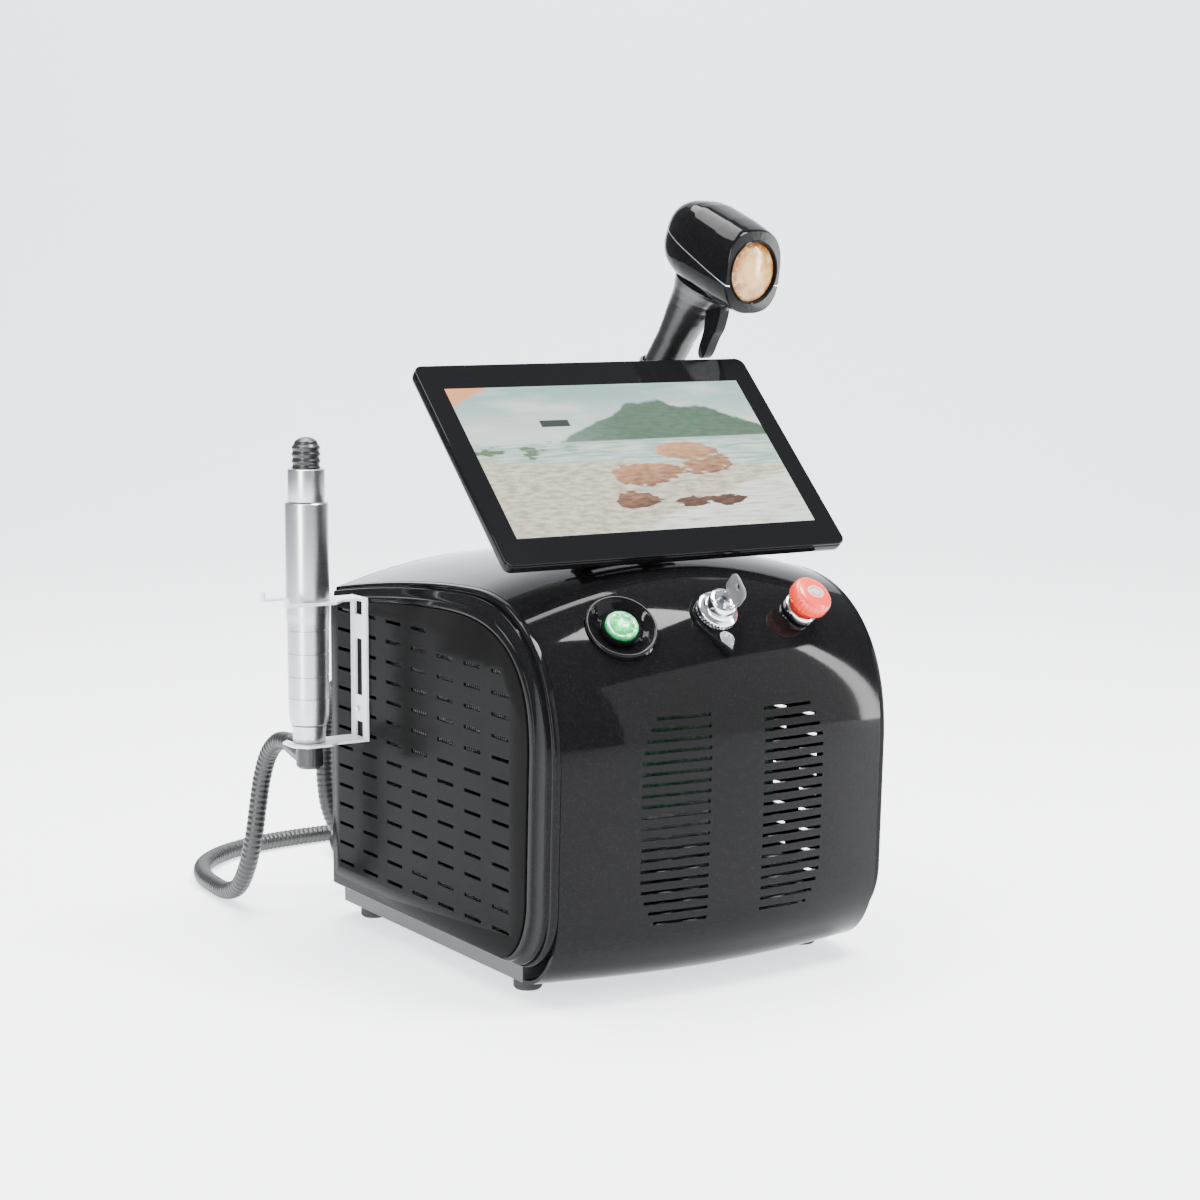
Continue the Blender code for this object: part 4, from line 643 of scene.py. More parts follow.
inlay_edge = np.column_stack([0.0085 * np.cos(rib_turn), 0.0062 * np.sin(rib_turn)])
inlay_sides = [(0, 0.0274), (0, 0.02812), (0.0003, 0.02818)]
inlay = grid_mesh("stop_inlay", plate_grid(inlay_edge, inlay_sides, STOP), inlay_finish, (False, True), 30,
                  True)
arrow_finish = painted("stop_inlay_mark", (0.55, 0.035, 0.02), (0.65, 0.05, 0.03), (0.30, 0.10), 900.0,
                       0.00001)
for k in range(2):
    sweep_turn = np.linspace(0.35, 2.6, 24) + math.pi * k
    centre = np.column_stack([0.0058 * np.cos(sweep_turn), 0.0040 * np.sin(sweep_turn)])
    edge_out, edge_in = centre * 1.12, centre[::-1] * 0.86
    mark = grid_mesh(f"stop_mark_{k + 1}",
                     plate_grid(np.vstack([edge_out, edge_in]), [(0, 0.02800), (0, 0.02819)], STOP),
                     arrow_finish, (False, True), 30, True)
    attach(mark, "stop_button")
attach(inlay, "stop_button")
collar_line = [(0.0071, -0.0195), (0.0110, -0.0195), (0.0110, 0.0003), (0.0148, 0.0010), (0.0150, 0.0016),
               (0.0150, 0.0058), (0.0147, 0.0068), (0.0136, 0.0078), (0.0128, 0.0080), (0.0073, 0.0080),
               (0.0071, 0.0078)]
collar = grid_mesh("stop_collar", turned(collar_line, 96, STOP, ring=True), plating, (True, True), 30)
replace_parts(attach(collar, "cabinet"), "stop_switch_collar")

# ---- tilting screen ------------------------------------------------------------------------------
# A cover glass bonded over the display, black round its edge, with a picture of a shore on the lit
# part. Behind it are a moulded back, a steel bracket with two lugs, the hinge pin and the post that
# stands on the cabinet.
SCREEN_WIDTH, SCREEN_HEIGHT, LIT_WIDTH, LIT_HEIGHT = 0.3326, 0.2193, 0.2938, 0.1652


def slab_grid(width, height, radius, stations, matrix):
    """Rounded rectangles at each station's height, each drawn in by the station's inset on every side."""
    rows = []
    for inset, z in stations:
        outline = round_box(width - 2 * inset, height - 2 * inset, max(radius - inset, 0.001))
        rows.append(np.column_stack([outline, np.full(len(outline), z)]))
    return moved(np.array(rows), CONSOLE @ matrix)


def flat_map(piece, matrix, width, height):
    """A UV map that runs from 0 to 1 over a width by height window about the middle of the matrix's X
    and Y."""
    points = np.empty(len(piece.data.vertices) * 3)
    piece.data.vertices.foreach_get("co", points)
    flat = points.reshape(-1, 3) @ np.array((CONSOLE @ matrix).inverted())[:3, :3].T
    flat += np.array((CONSOLE @ matrix).inverted())[:3, 3]
    corners = np.empty(len(piece.data.loops), np.int32)
    piece.data.loops.foreach_get("vertex_index", corners)
    uv = flat[corners][:, :2] / (width, height) + 0.5
    piece.data.uv_layers.new(name="UVMap").data.foreach_set("uv", uv.ravel())


picture, picture_in, shore = material("screen_glass", Roughness=0.05, Specular_IOR_Level=0.12,
                                      Emission_Strength=1.9)
u, v = shore.axis("X", "UV"), shore.axis("Y", "UV")
wide_noise = shore.noise(5.0, 5.0, (1, 0.6, 1), "UV")
fine_noise = shore.noise(26.0, 4.0, (1, 1.8, 1), "UV")
streak = shore.noise(9.0, 5.0, (1, 7, 1), "UV")
sky = shore.mix(v.ramp(0.60, 1.0), (0.62, 0.72, 0.66), (0.27, 0.45, 0.44))
sky = shore.mix(shore.noise(3.0, 4.0, (1, 2.2, 1), "UV").ramp(0.45, 0.7) * 0.6, sky, (0.80, 0.83, 0.78))
hill_top = 0.60 + u.ramp(0.22, 0.62) * (1 - u.ramp(0.80, 1.1)) * 0.26 + (wide_noise - 0.5) * 0.24
hill = (v - hill_top).ramp(0.012, -0.012)
hill_colour = shore.mix(fine_noise * 0.7 + wide_noise * 0.3, (0.018, 0.055, 0.040), (0.13, 0.22, 0.14))
hill_colour = shore.mix((1 - u).ramp(0.45, 0.95) * 0.5, hill_colour, (0.40, 0.52, 0.46))
scene_colour = shore.mix(hill, sky, hill_colour)
sea = v.ramp(0.615, 0.600)
sea_colour = shore.mix(streak.ramp(0.35, 0.70), (0.30, 0.47, 0.42), (0.66, 0.75, 0.68))
scene_colour = shore.mix(sea, scene_colour, sea_colour)
beach = (v - (0.50 - u * 0.10) - (wide_noise - 0.5) * 0.10).ramp(0.015, -0.010)
sand = shore.mix(fine_noise.ramp(0.3, 0.7), (0.40, 0.36, 0.26), (0.70, 0.66, 0.54))
scene_colour = shore.mix(beach, scene_colour, sand)
surf = (v - (0.36 - (1 - u) * 0.55) - (streak - 0.5) * 0.22).ramp(0.02, -0.03) * u.ramp(0.30, 0.55)
scene_colour = shore.mix(surf * streak.ramp(0.25, 0.6), scene_colour, (0.80, 0.86, 0.82))
dune = shore.node("ShaderNodeTexVoronoi", {"distance": "EUCLIDEAN", "feature": "SMOOTH_F1"},
                  {"Vector": shore.node("ShaderNodeVectorMath", {"operation": "MULTIPLY"},
                                        {0: shore.place("UV"), 1: (1.0, 1.35, 1.0)}), "Scale": 4.6,
                   "Smoothness": 0.25})
rock_field = u.ramp(0.28, 0.42) * (1 - u.ramp(0.80, 0.92)) * v.ramp(0.06, 0.20) * (1 - v.ramp(0.52, 0.74))
rocks = (dune + (1 - rock_field) * 0.9 + (fine_noise - 0.5) * 0.30).ramp(0.50, 0.46)
rock_light = (fine_noise * 0.5 + (v - u * 0.3) * 0.9).ramp(0.15, 0.75)
rock_colour = shore.mix(rock_light, (0.075, 0.032, 0.020), (0.70, 0.36, 0.19))
scene_colour = shore.mix(rocks, scene_colour, rock_colour)
tufts = shore.noise(14.0, 5.0, (1, 2.0, 1), "UV") - shore.maths("ABSOLUTE", v - 0.56) * 3.2
grass = tufts.ramp(0.44, 0.52) * (1 - u.ramp(0.15, 0.42))
scene_colour = shore.mix(grass, scene_colour, (0.10, 0.17, 0.09))
corner = (v - u * 0.9).ramp(0.86, 0.89)
scene_colour = shore.mix(corner, scene_colour, (0.80, 0.35, 0.16))
tab = shore.maths("MAXIMUM", shore.maths("ABSOLUTE", u - 0.30) * 0.9,
                  shore.maths("ABSOLUTE", v - 0.74) * 1.9)
scene_colour = shore.mix(tab.ramp(0.046, 0.040), scene_colour, (0.02, 0.03, 0.03))
lit = (shore.maths("ABSOLUTE", u - 0.5) < 0.5) * (shore.maths("ABSOLUTE", v - 0.5) < 0.5)
facing = shore.node("ShaderNodeVectorMath", {"operation": "DOT_PRODUCT"},
                    {0: Sock(shore.tree,
                             shore.node("ShaderNodeNewGeometry", {}, {}).socket.node.outputs["Normal"]),
                     1: tuple(SCREEN.to_3x3() @ Vector((0, 0, 1)))}, 1)
lit = lit * (facing > 0.9)
feed(picture_in["Base Color"], shore.mix(lit, (0.004, 0.004, 0.0045), (0.012, 0.012, 0.012)))
feed(picture_in["Emission Color"], shore.mix(lit, (0, 0, 0), scene_colour))
glass_sides = [(0.0004, -0.0020), (0, -0.0017), (0, -0.0006), (0.0002, -0.0002), (0.0006, 0)]
glass = grid_mesh("screen_glass_lit", slab_grid(SCREEN_WIDTH, SCREEN_HEIGHT, 0.008, glass_sides, SCREEN),
                  picture, (False, True), 25, True)
flat_map(glass, SCREEN, LIT_WIDTH, LIT_HEIGHT)
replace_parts(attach(glass, "screen"), "screen_glass")
back_sides = [(0.0100, -0.0130), (0.0060, -0.0129), (0.0035, -0.0124), (0.0016, -0.0112), (0.0006, -0.0096),
              (0.0, -0.0070), (0.0, -0.0034), (0.0004, -0.0026), (0.0010, -0.0023)]
cover = grid_mesh("screen_back", slab_grid(SCREEN_WIDTH, SCREEN_HEIGHT, 0.008, back_sides, SCREEN), lacquer,
                  (False, True), 25, True)
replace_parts(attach(cover, "screen"), "screen_back_cover", "display_module")
wear(dark_steel, "screen_bracket", "screen_post", "gun_cradle_post")
wear(plating, "hinge_pin", "bracket_screw")

# ---- silver handpiece ----------------------------------------------------------------------------
# Turned and satin-anodised aluminium in three screwed lengths, with fine grooves round the grip. A
# ribbed black rubber tip is pushed on its nose, and a rubber elbow under the shelf carries the hose.
WAND = Matrix.Translation((-0.220, -0.066, 0.174))
anodised, anodised_in, anodised_start = material("satin_anodised", Metallic=1.0)
brushed = anodised_start.noise(60.0, 4.0, (0.4, 0.4, 60))
cloudy = anodised_start.noise(22.0, 3.0)
feed(anodised_in["Base Color"],
     anodised_start.mix(brushed * 0.6 + cloudy * 0.4, (0.36, 0.36, 0.37), (0.60, 0.60, 0.62)))
feed(anodised_in["Roughness"], brushed * 0.16 + cloudy * 0.06 + 0.20)
relief(anodised_in, brushed, 0.00001)
tail_line = [(0.0, 0.0004), (0.0128, 0.0004), (0.0136, 0.0008), (0.0141, 0.0020), (0.0143, 0.0060),
             (0.0147, 0.0135), (0.0150, 0.0145), (0.0150, 0.0152), (0.0, 0.0152)]
grip_line = [(0.0, 0.0160), (0.0152, 0.0160), (0.0159, 0.0168), (0.0166, 0.0195), (0.0173, 0.0240)]
for height in (0.040, 0.059, 0.079, 0.099):
    wall = 0.0176 + 0.0004 * (height - 0.025) / 0.075
    grip_line += [(wall, height - 0.0008), (wall - 0.0007, height - 0.0005),
                  (wall - 0.0007, height + 0.0005), (wall, height + 0.0008)]
grip_line += [(0.0180, 0.1040), (0.0182, 0.1080), (0.0186, 0.1110), (0.0187, 0.1135), (0.0187, 0.2060),
              (0.0185, 0.2076), (0.0179, 0.2084), (0.0, 0.2084)]
nose_line = [(0.0, 0.2092), (0.0158, 0.2092), (0.0160, 0.2098), (0.0160, 0.2352), (0.0157, 0.2366),
             (0.0150, 0.2372), (0.0, 0.2372)]
for name, line, node in (("wand_tail_turned", tail_line, "wand_tail"),
                         ("wand_grip_turned", grip_line, "wand_body"),
                         ("wand_nose_turned", nose_line, "wand_nose")):
    piece = grid_mesh(name, turned(line, 96, WAND), anodised, (False, True), 22)
    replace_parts(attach(piece, "wand"), node)
tip_rubber, tip_in, tip_start = material("tip_rubber")
bloom = tip_start.noise(120.0, 4.0)
feed(tip_in["Base Color"], tip_start.mix(bloom, (0.006, 0.006, 0.006), (0.016, 0.016, 0.016)))
feed(tip_in["Roughness"], bloom * 0.18 + 0.26)
relief(tip_in, tip_start.noise(1500.0, 2.0), 0.00003)
TIP_RADIUS, TIP_LOW, TIP_HIGH, TIP_RIBS, DOME_FROM = 0.0124, 0.2378, 0.2644, 4.5, 0.62
up = np.linspace(0, 1, 72)
closing = ((up - DOME_FROM) / (1 - DOME_FROM)).clip(0)
dome = TIP_RADIUS * np.sqrt(np.maximum(0, 1 - closing ** 2))
ribs = 1 - 0.085 * (0.5 - 0.5 * np.cos(2 * math.pi * up * TIP_RIBS)) * (up < 0.86)
tip_profile = np.column_stack([dome * ribs, TIP_LOW + (TIP_HIGH - TIP_LOW) * up])
tip_profile = np.vstack([(0.0, TIP_LOW), tip_profile[:-1], (0.0, TIP_HIGH)])
tip = grid_mesh("wand_ribbed_tip", turned(tip_profile, 72, WAND), tip_rubber, (False, True), 60)
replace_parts(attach(tip, "wand"), "wand_tip")
wear(tip_rubber, "wand_hose_elbow")

# ---- handpiece bracket ---------------------------------------------------------------------------
# One folded steel strip with a white powder coat: a forked upper arm with turned-up ends, a slotted
# back plate and a shelf with a keyhole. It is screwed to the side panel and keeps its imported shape.
white_coat = painted("bracket_white_coat", (0.66, 0.67, 0.69), (0.78, 0.79, 0.81), (0.28, 0.12), 1100.0,
                     0.00002)
wear(white_coat, "wand_bracket")

# ---- hose ----------------------------------------------------------------------------------------
# A black corrugated tube over the water, air and wiring. It drops from the handpiece's elbow to the
# floor, lies in a loose coil behind the cabinet and rises into the gland in the rear panel.
HOSE_RADIUS = 0.0083
FLOOR = HOSE_RADIUS + 0.0003
BOOT = (WAND @ Matrix.Translation((0, 0, -0.0125)) @ Matrix.Rotation(math.radians(8), 4, "X")
        @ Matrix.Rotation(-math.pi / 2, 4, "X"))
COIL_X, COIL_Y, COIL_RADIUS = 0.030, 0.175, 0.095
descent = [tuple(BOOT @ Vector((0, 0, 0.0346))), tuple(BOOT @ Vector((0, 0, 0.043))),
           (-0.220, -0.002, 0.164), (-0.221, 0.016, 0.150), (-0.223, 0.026, 0.128), (-0.226, 0.030, 0.100),
           (-0.229, 0.033, 0.072), (-0.231, 0.043, 0.044), (-0.231, 0.063, 0.021), (-0.230, 0.092, 0.0105),
           (-0.228, 0.125, FLOOR), (-0.222, 0.165, FLOOR), (-0.204, 0.205, FLOOR), (-0.172, 0.238, FLOOR),
           (-0.130, 0.259, FLOOR), (-0.085, 0.268, FLOOR), (-0.034, 0.270, FLOOR)]
SECOND_LAYER = 0.0254           # centre height of the turn that lies on the first one
wound = np.linspace(0, 3 * math.pi, 46)
climb = ((wound - 1.45 * math.pi) / (0.62 * math.pi)).clip(0, 1)
climb = climb * climb * (3 - 2 * climb)
coil = np.column_stack([COIL_X + COIL_RADIUS * np.cos(math.pi / 2 - wound),
                        COIL_Y + COIL_RADIUS * np.sin(math.pi / 2 - wound),
                        FLOOR + (SECOND_LAYER - FLOOR) * climb])
rise = [(-0.034, 0.080, SECOND_LAYER), (-0.075, 0.080, 0.0285), (-0.100, 0.080, 0.038),
        (-0.119, 0.079, 0.055), (-0.131, 0.078, 0.078), (-0.136, 0.077, 0.105), (-0.137, 0.076, 0.135),
        (-0.137, 0.072, 0.165), (-0.137, 0.060, 0.189), (-0.137, 0.043, 0.202), (-0.137, 0.030, 0.205),
        (-0.137, 0.0226, 0.205)]
guide = moved(np.array([*descent, *coil.tolist(), *rise]), CONSOLE)


def along_curve(points, step):
    """Even steps along the Catmull-Rom curve through the points: each span is a cubic in t of its four
    neighbours."""
    ends = np.vstack([2 * points[0] - points[1], points, 2 * points[-1] - points[-2]])
    t = np.linspace(0, 1, 12, endpoint=False)[None, :, None]
    a, b, c, d = (ends[k:len(ends) - 3 + k, None, :] for k in range(4))
    fine = 0.5 * (2 * b + (c - a) * t + (2 * a - 5 * b + 4 * c - d) * t ** 2
                  + (3 * b - a - 3 * c + d) * t ** 3)
    fine = np.vstack([fine.reshape(-1, 3), points[-1:]])
    run = np.concatenate([[0], np.cumsum(np.linalg.norm(np.diff(fine, axis=0), axis=1))])
    even = np.linspace(0, run[-1], int(run[-1] / step) + 1)
    return np.column_stack([np.interp(even, run, fine[:, k]) for k in range(3)]), run[-1]


def tube_grid(line, radii, sides):
    """A circle of each point's radius set square to the line, on a frame carried along it with the
    least turning."""
    tangent = np.gradient(line, axis=0)
    tangent /= np.linalg.norm(tangent, axis=1, keepdims=True)
    sideways = np.empty_like(line)
    side = np.cross(tangent[0], (0, 0, 1.0))
    for k, ahead in enumerate(tangent):
        side = side - ahead * (side @ ahead)
        side /= np.linalg.norm(side)
        sideways[k] = side
    upright = np.cross(tangent, sideways)
    angle = np.linspace(0, 2 * math.pi, sides, endpoint=False)[:, None]
    circles = sideways[:, None] * np.cos(angle) + upright[:, None] * np.sin(angle)
    return line[:, None] + radii[:, None, None] * circles


hose_line, hose_length = along_curve(guide, 0.00115)
RIB_PITCH, FURROW = 0.0052, 0.0011
travel = np.linspace(0, hose_length, len(hose_line))
ridge = np.abs(np.sin(math.pi * travel / RIB_PITCH))
radii = HOSE_RADIUS - FURROW * (1 - ridge ** 0.6)
hose_rubber, hose_in, hose_start = material("hose_rubber")
dust = hose_start.noise(70.0, 5.0)
feed(hose_in["Base Color"], hose_start.mix(dust, (0.006, 0.006, 0.006), (0.020, 0.020, 0.019)))
feed(hose_in["Roughness"], dust * 0.20 + 0.30)
relief(hose_in, hose_start.noise(1400.0, 2.0), 0.00003)
hose = grid_mesh("ribbed_hose", tube_grid(hose_line, radii, 18), hose_rubber, (False, True), 180, True)
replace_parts(hose, "hose_wand_leg", "hose_coil", "hose_gland_leg")
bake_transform(hose)

# ---- gun handpiece -------------------------------------------------------------------------------
# Two lacquered shells meet along a bright seam strip; the flared handle is moulded black with a ribbed
# back, and a lever trigger swings on a steel pin in its throat. It hangs by the handle in a cup on a
# post.
GUN = (Matrix.Translation((0.152, -0.142, 0.597)) @ Matrix.Rotation(math.radians(9), 4, "Z")
       @ Matrix.Rotation(math.radians(23), 4, "X"))
GUN_LENGTH, GUN_HALF_WIDTH, GUN_HALF_HEIGHT, FACE_RAKE = 0.100, 0.0345, 0.0375, math.radians(15)


def head_grid(grow=0.0):
    """Superellipse sections of power 2.7 from rear to front. Each section's size follows the body line,
    and its points lean forward in proportion to height times the share of the length behind it."""
    share = np.concatenate([[0, 0.008, 0.02, 0.04], np.linspace(0.07, 0.97, 40), [0.985, 0.995, 1.0]])
    size = np.interp(share,
                     [0, 0.008, 0.02, 0.06, 0.12, 0.18, 0.28, 0.40, 0.55, 0.75, 0.90, 0.97, 0.99, 1.0],
                     [0.50, 0.57, 0.63, 0.735, 0.835, 0.90, 0.965, 0.998, 1.0, 0.998, 0.975, 0.955, 0.945,
                      0.93])
    angle = np.linspace(0, 2 * math.pi, 160, endpoint=False)
    flat = np.sign(np.cos(angle)) * np.abs(np.cos(angle)) ** (2 / 2.7)
    tall = np.sign(np.sin(angle)) * np.abs(np.sin(angle)) ** (2 / 2.7)
    x = flat * (GUN_HALF_WIDTH * size[:, None] + grow)
    z = tall * (GUN_HALF_HEIGHT * size[:, None] + grow)
    y = GUN_LENGTH * (0.5 - share[:, None]) + z * math.tan(FACE_RAKE) * share[:, None]
    return moved(np.stack([x, y, z], axis=-1), CONSOLE @ GUN)


def layer(low, high, slope):
    """A block between two parallel planes that fall towards the front by the slope."""
    points = np.array([(x, y, z + slope * y) for z in (low, high) for x, y in
                       ((-0.08, -0.10), (0.08, -0.10), (0.08, 0.10), (-0.08, 0.10))])
    mesh = bpy.data.meshes.new("layer")
    mesh.from_pydata(moved(points, CONSOLE @ GUN).tolist(), [],
                     [(0, 1, 2, 3), (4, 5, 6, 7), (0, 1, 5, 4), (1, 2, 6, 5), (2, 3, 7, 6), (3, 0, 4, 7)])
    return mesh_piece("layer", mesh, lacquer)


FACE = (GUN @ Matrix.Translation((0, -GUN_LENGTH / 2 - 0.0003, 0)) @ Matrix.Rotation(-FACE_RAKE, 4, "X")
        @ Matrix.Rotation(math.pi / 2, 4, "X"))
SEAM_Z, SEAM_SLOPE, HANDLE_SEAM_Z, HANDLE_SLOPE = -0.0035, 0.15, -0.0335, 0.03
SEAM_HALF, HANDLE_SEAM_HALF, ABOVE, PROUD = 0.0004, 0.0003, 0.12, 0.0002
seam_finish, seam_in, seam_start = material("seam_strip", Metallic=0.85)
feed(seam_in["Base Color"], seam_start.mix(seam_start.noise(80.0), (0.42, 0.42, 0.43), (0.66, 0.66, 0.67)))
feed(seam_in["Roughness"], seam_start.noise(200.0) * 0.12 + 0.16)
for name, low, high, slope, node, grow in (
        ("gun_top_shell", SEAM_Z + SEAM_HALF, ABOVE, SEAM_SLOPE, "gun_upper_shell", 0.0),
        ("gun_bottom_shell", HANDLE_SEAM_Z + SEAM_HALF, ABOVE, HANDLE_SLOPE, "gun_lower_shell", 0.0),
        ("gun_seam_strip", SEAM_Z - SEAM_HALF, SEAM_Z + SEAM_HALF, SEAM_SLOPE, "gun_seam_trim", PROUD),
        ("gun_handle_strip", HANDLE_SEAM_Z - HANDLE_SEAM_HALF, HANDLE_SEAM_Z + HANDLE_SEAM_HALF,
         HANDLE_SLOPE, "gun_handle_trim", PROUD)):
    bright = name.endswith("strip")
    piece = grid_mesh(name, head_grid(grow), seam_finish if bright else lacquer, (False, True), 32, True)
    cut(piece, layer(low, high, slope), operation="INTERSECT")
    if name == "gun_bottom_shell":
        cut(piece, layer(SEAM_Z - SEAM_HALF, ABOVE, SEAM_SLOPE))
    cut(piece, bore(0.0300 if bright else 0.0284, -0.010, 0.03, FACE, 96))
    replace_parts(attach(piece, "gun"), node)
window_rim = [(0.0272, -0.0080), (0.0283, -0.0080), (0.0283, 0.0004), (0.0278, 0.0009), (0.0268, 0.0004),
              (0.0262, -0.0016), (0.0260, -0.0080)]
rim_piece = grid_mesh("gun_window_rim", turned(window_rim, 96, FACE, ring=True), lacquer, (True, True), 30)
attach(rim_piece, "gun")
amber, amber_in, amber_start = material("lit_amber_window", Roughness=0.10, Coat_Weight=0.12, IOR=1.5,
                                        Emission_Strength=1.1)
TO_FACE = (CONSOLE @ FACE).inverted()
face_x, face_y = local(amber_start, TO_FACE, "X"), local(amber_start, TO_FACE, "Y")
centre_far = amber_start.maths("SQRT", face_x * face_x + face_y * face_y)
# An off-centre spot above the middle is a painted highlight, added bright into the window's glow.
painted_highlight_far = amber_start.maths("SQRT",
                             (face_x + 0.009) * (face_x + 0.009) + (face_y - 0.004) * (face_y - 0.004) * 1.6)
ripple = amber_start.noise(150.0, 4.0, (1, 0.5, 1))
warm = amber_start.mix(centre_far.ramp(0.008, 0.027), (0.95, 0.50, 0.13), (0.34, 0.095, 0.015))
warm = amber_start.mix(ripple.ramp(0.40, 0.66) * 0.65, warm, (0.98, 0.66, 0.28))
warm = amber_start.mix(amber_start.noise(60.0, 3.0).ramp(0.52, 0.68) * 0.5, warm, (0.30, 0.085, 0.014))
painted_highlight = (1 - painted_highlight_far.ramp(0.002, 0.0125)) * (0.75 + ripple * 0.5)
feed(amber_in["Base Color"], amber_start.mix(0.75, warm, (0.02, 0.008, 0.002)))
feed(amber_in["Emission Color"], amber_start.mix(painted_highlight.maths("MINIMUM", painted_highlight, 1.0), warm, (1.0, 0.72, 0.30)))
relief(amber_in, ripple, 0.0004)
window_line = [(0.0, -0.0068), (0.0258, -0.0068), (0.0259, -0.0030), (0.0252, -0.0020), (0.0225, -0.0004),
               (0.0180, 0.0010), (0.0130, 0.0019), (0.0070, 0.0025), (0.0, 0.0027)]
window = grid_mesh("gun_window_dome", turned(window_line, 96, FACE), amber, (False, True), 40)
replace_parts(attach(window, "gun"), "gun_window")

grip_black = painted("grip_moulding", (0.004, 0.004, 0.004), (0.010, 0.010, 0.010), (0.20, 0.14), 1900.0,
                     0.00003)
GRIP_LENGTH, GRIP_RAKE = 0.124, math.radians(13)
GRIP_TOP = HANDLE_SEAM_Z - 0.0009


def grip_middle(down):
    return 0.006 + math.tan(GRIP_RAKE) * down


def handle_grid(count=150, sides=80):
    """Ovals down the handle: depth, width and middle follow the grip line, and ribs swell its back by a
    cosine."""
    down = np.linspace(0, 1, count) ** 1.15 * GRIP_LENGTH
    table = np.array([(0, -0.002, 0.074, 0.052), (0.0035, -0.001, 0.072, 0.050),
                      (0.009, grip_middle(0.009) - 0.0055, 0.063, 0.046),
                      (0.016, grip_middle(0.016) - 0.003, 0.054, 0.042),
                      (0.024, grip_middle(0.024) - 0.001, 0.048, 0.039),
                      (0.034, grip_middle(0.034), 0.044, 0.037), (0.046, grip_middle(0.046), 0.0395, 0.0353),
                      (0.060, grip_middle(0.060), 0.036, 0.034),
                      (GRIP_LENGTH, grip_middle(GRIP_LENGTH), 0.036, 0.034)])
    middle, depth, width = (np.interp(down, table[:, 0], table[:, k])[:, None] for k in (1, 2, 3))
    angle = np.linspace(0, 2 * math.pi, sides, endpoint=False)
    back = np.sin(angle).clip(0.55, 1) - 0.55
    field = ((down - 0.030) / 0.006).clip(0, 1) * ((0.086 - down) / 0.004).clip(0, 1)
    ribs = field[:, None] * back / 0.45 * 0.0016 * (0.5 - 0.5 * np.cos(2 * math.pi * down / 0.0062))[:, None]
    x = width / 2 * np.cos(angle)
    y = middle + (depth / 2 - ribs) * np.sin(angle)
    z = GRIP_TOP - down[:, None] + HANDLE_SLOPE * y * (down[:, None] < 0.004)
    return moved(np.stack([x, y, z], axis=-1), CONSOLE @ GUN)


handle = grid_mesh("gun_grip", handle_grid(), grip_black, (False, True), 50, True)
PIVOT = GUN @ Matrix.Translation((0, -0.022, -0.044))
throat = bpy.data.meshes.new("throat")
throat_points = slab_blocks([(0, -0.0305, -0.0495)], [(0.0122, 0.040, 0.028)])
throat.from_pydata(moved(moved(throat_points[0], CONSOLE.inverted()), CONSOLE @ GUN).tolist(), [],
                   throat_points[1])
cut(handle, mesh_piece("throat", throat, grip_black))
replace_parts(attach(handle, "gun"), "gun_handle")


def rounded_off(outline, rounds=3):
    """Corner cutting: each round replaces every corner by points a quarter and three quarters along its
    sides."""
    for _ in range(rounds):
        ahead = np.roll(outline, -1, axis=0)
        outline = np.stack([0.75 * outline + 0.25 * ahead, 0.25 * outline + 0.75 * ahead],
                           axis=1).reshape(-1, 2)
    return outline


lever_line = rounded_off(np.array([(-0.0075, 0.0060), (0.0075, 0.0060), (0.0085, -0.018), (0.0050, -0.026),
                                   (0.0055, -0.052), (-0.0045, -0.052), (-0.0065, -0.028),
                                   (-0.0100, -0.020)]))
CROSSWAYS = Matrix.Rotation(math.pi / 2, 4, "Z") @ Matrix.Rotation(math.pi / 2, 4, "X")
lever_sides = [(0.0008, -0.0055), (0.0002, -0.0051), (0, -0.0045), (0, 0.0045), (0.0002, 0.0051),
               (0.0008, 0.0055)]
lever = grid_mesh("gun_lever", plate_grid(lever_line, lever_sides, PIVOT @ CROSSWAYS), lacquer,
                  (False, True), 35, True)
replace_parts(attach(lever, "trigger"), "gun_trigger")
wear(plating, "gun_trigger_pin")
wear(grip_black, "gun_hose_inlet")

# ---- gun cradle ----------------------------------------------------------------------------------
# A moulded oval cup takes the lower end of the handle; its arm and sleeve sit on the steel post that
# stands through the cabinet's top. The floor has a hole for the hose inlet.
CUP_TOP_LIFT, CUP_PLAY, CUP_SHEET, HOLE_RADIUS, HOLE_DRIFT = 0.034, 0.0010, 0.0025, 0.0125, 0.0045
GRIP_HALF_WIDTH, GRIP_HALF_DEPTH = 0.017, 0.018
GRIP_END_Z = GRIP_TOP - GRIP_LENGTH


def oval(lift, grow, hole=False):
    """An oval round the handle's end at this lift, grown outwards, or the floor's longer hole."""
    angle = np.linspace(0, 2 * math.pi, 80, endpoint=False)
    level = np.full(len(angle), GRIP_END_Z + lift)
    if hole:
        along = HOLE_RADIUS * np.sin(angle) + np.where(np.sin(angle) < 0, -HOLE_DRIFT, 0)
        return np.column_stack([HOLE_RADIUS * np.cos(angle), grip_middle(GRIP_LENGTH) + along, level])
    return np.column_stack([(GRIP_HALF_WIDTH + grow) * np.cos(angle),
                            grip_middle(GRIP_LENGTH - lift) + (GRIP_HALF_DEPTH + grow) * np.sin(angle),
                            level])


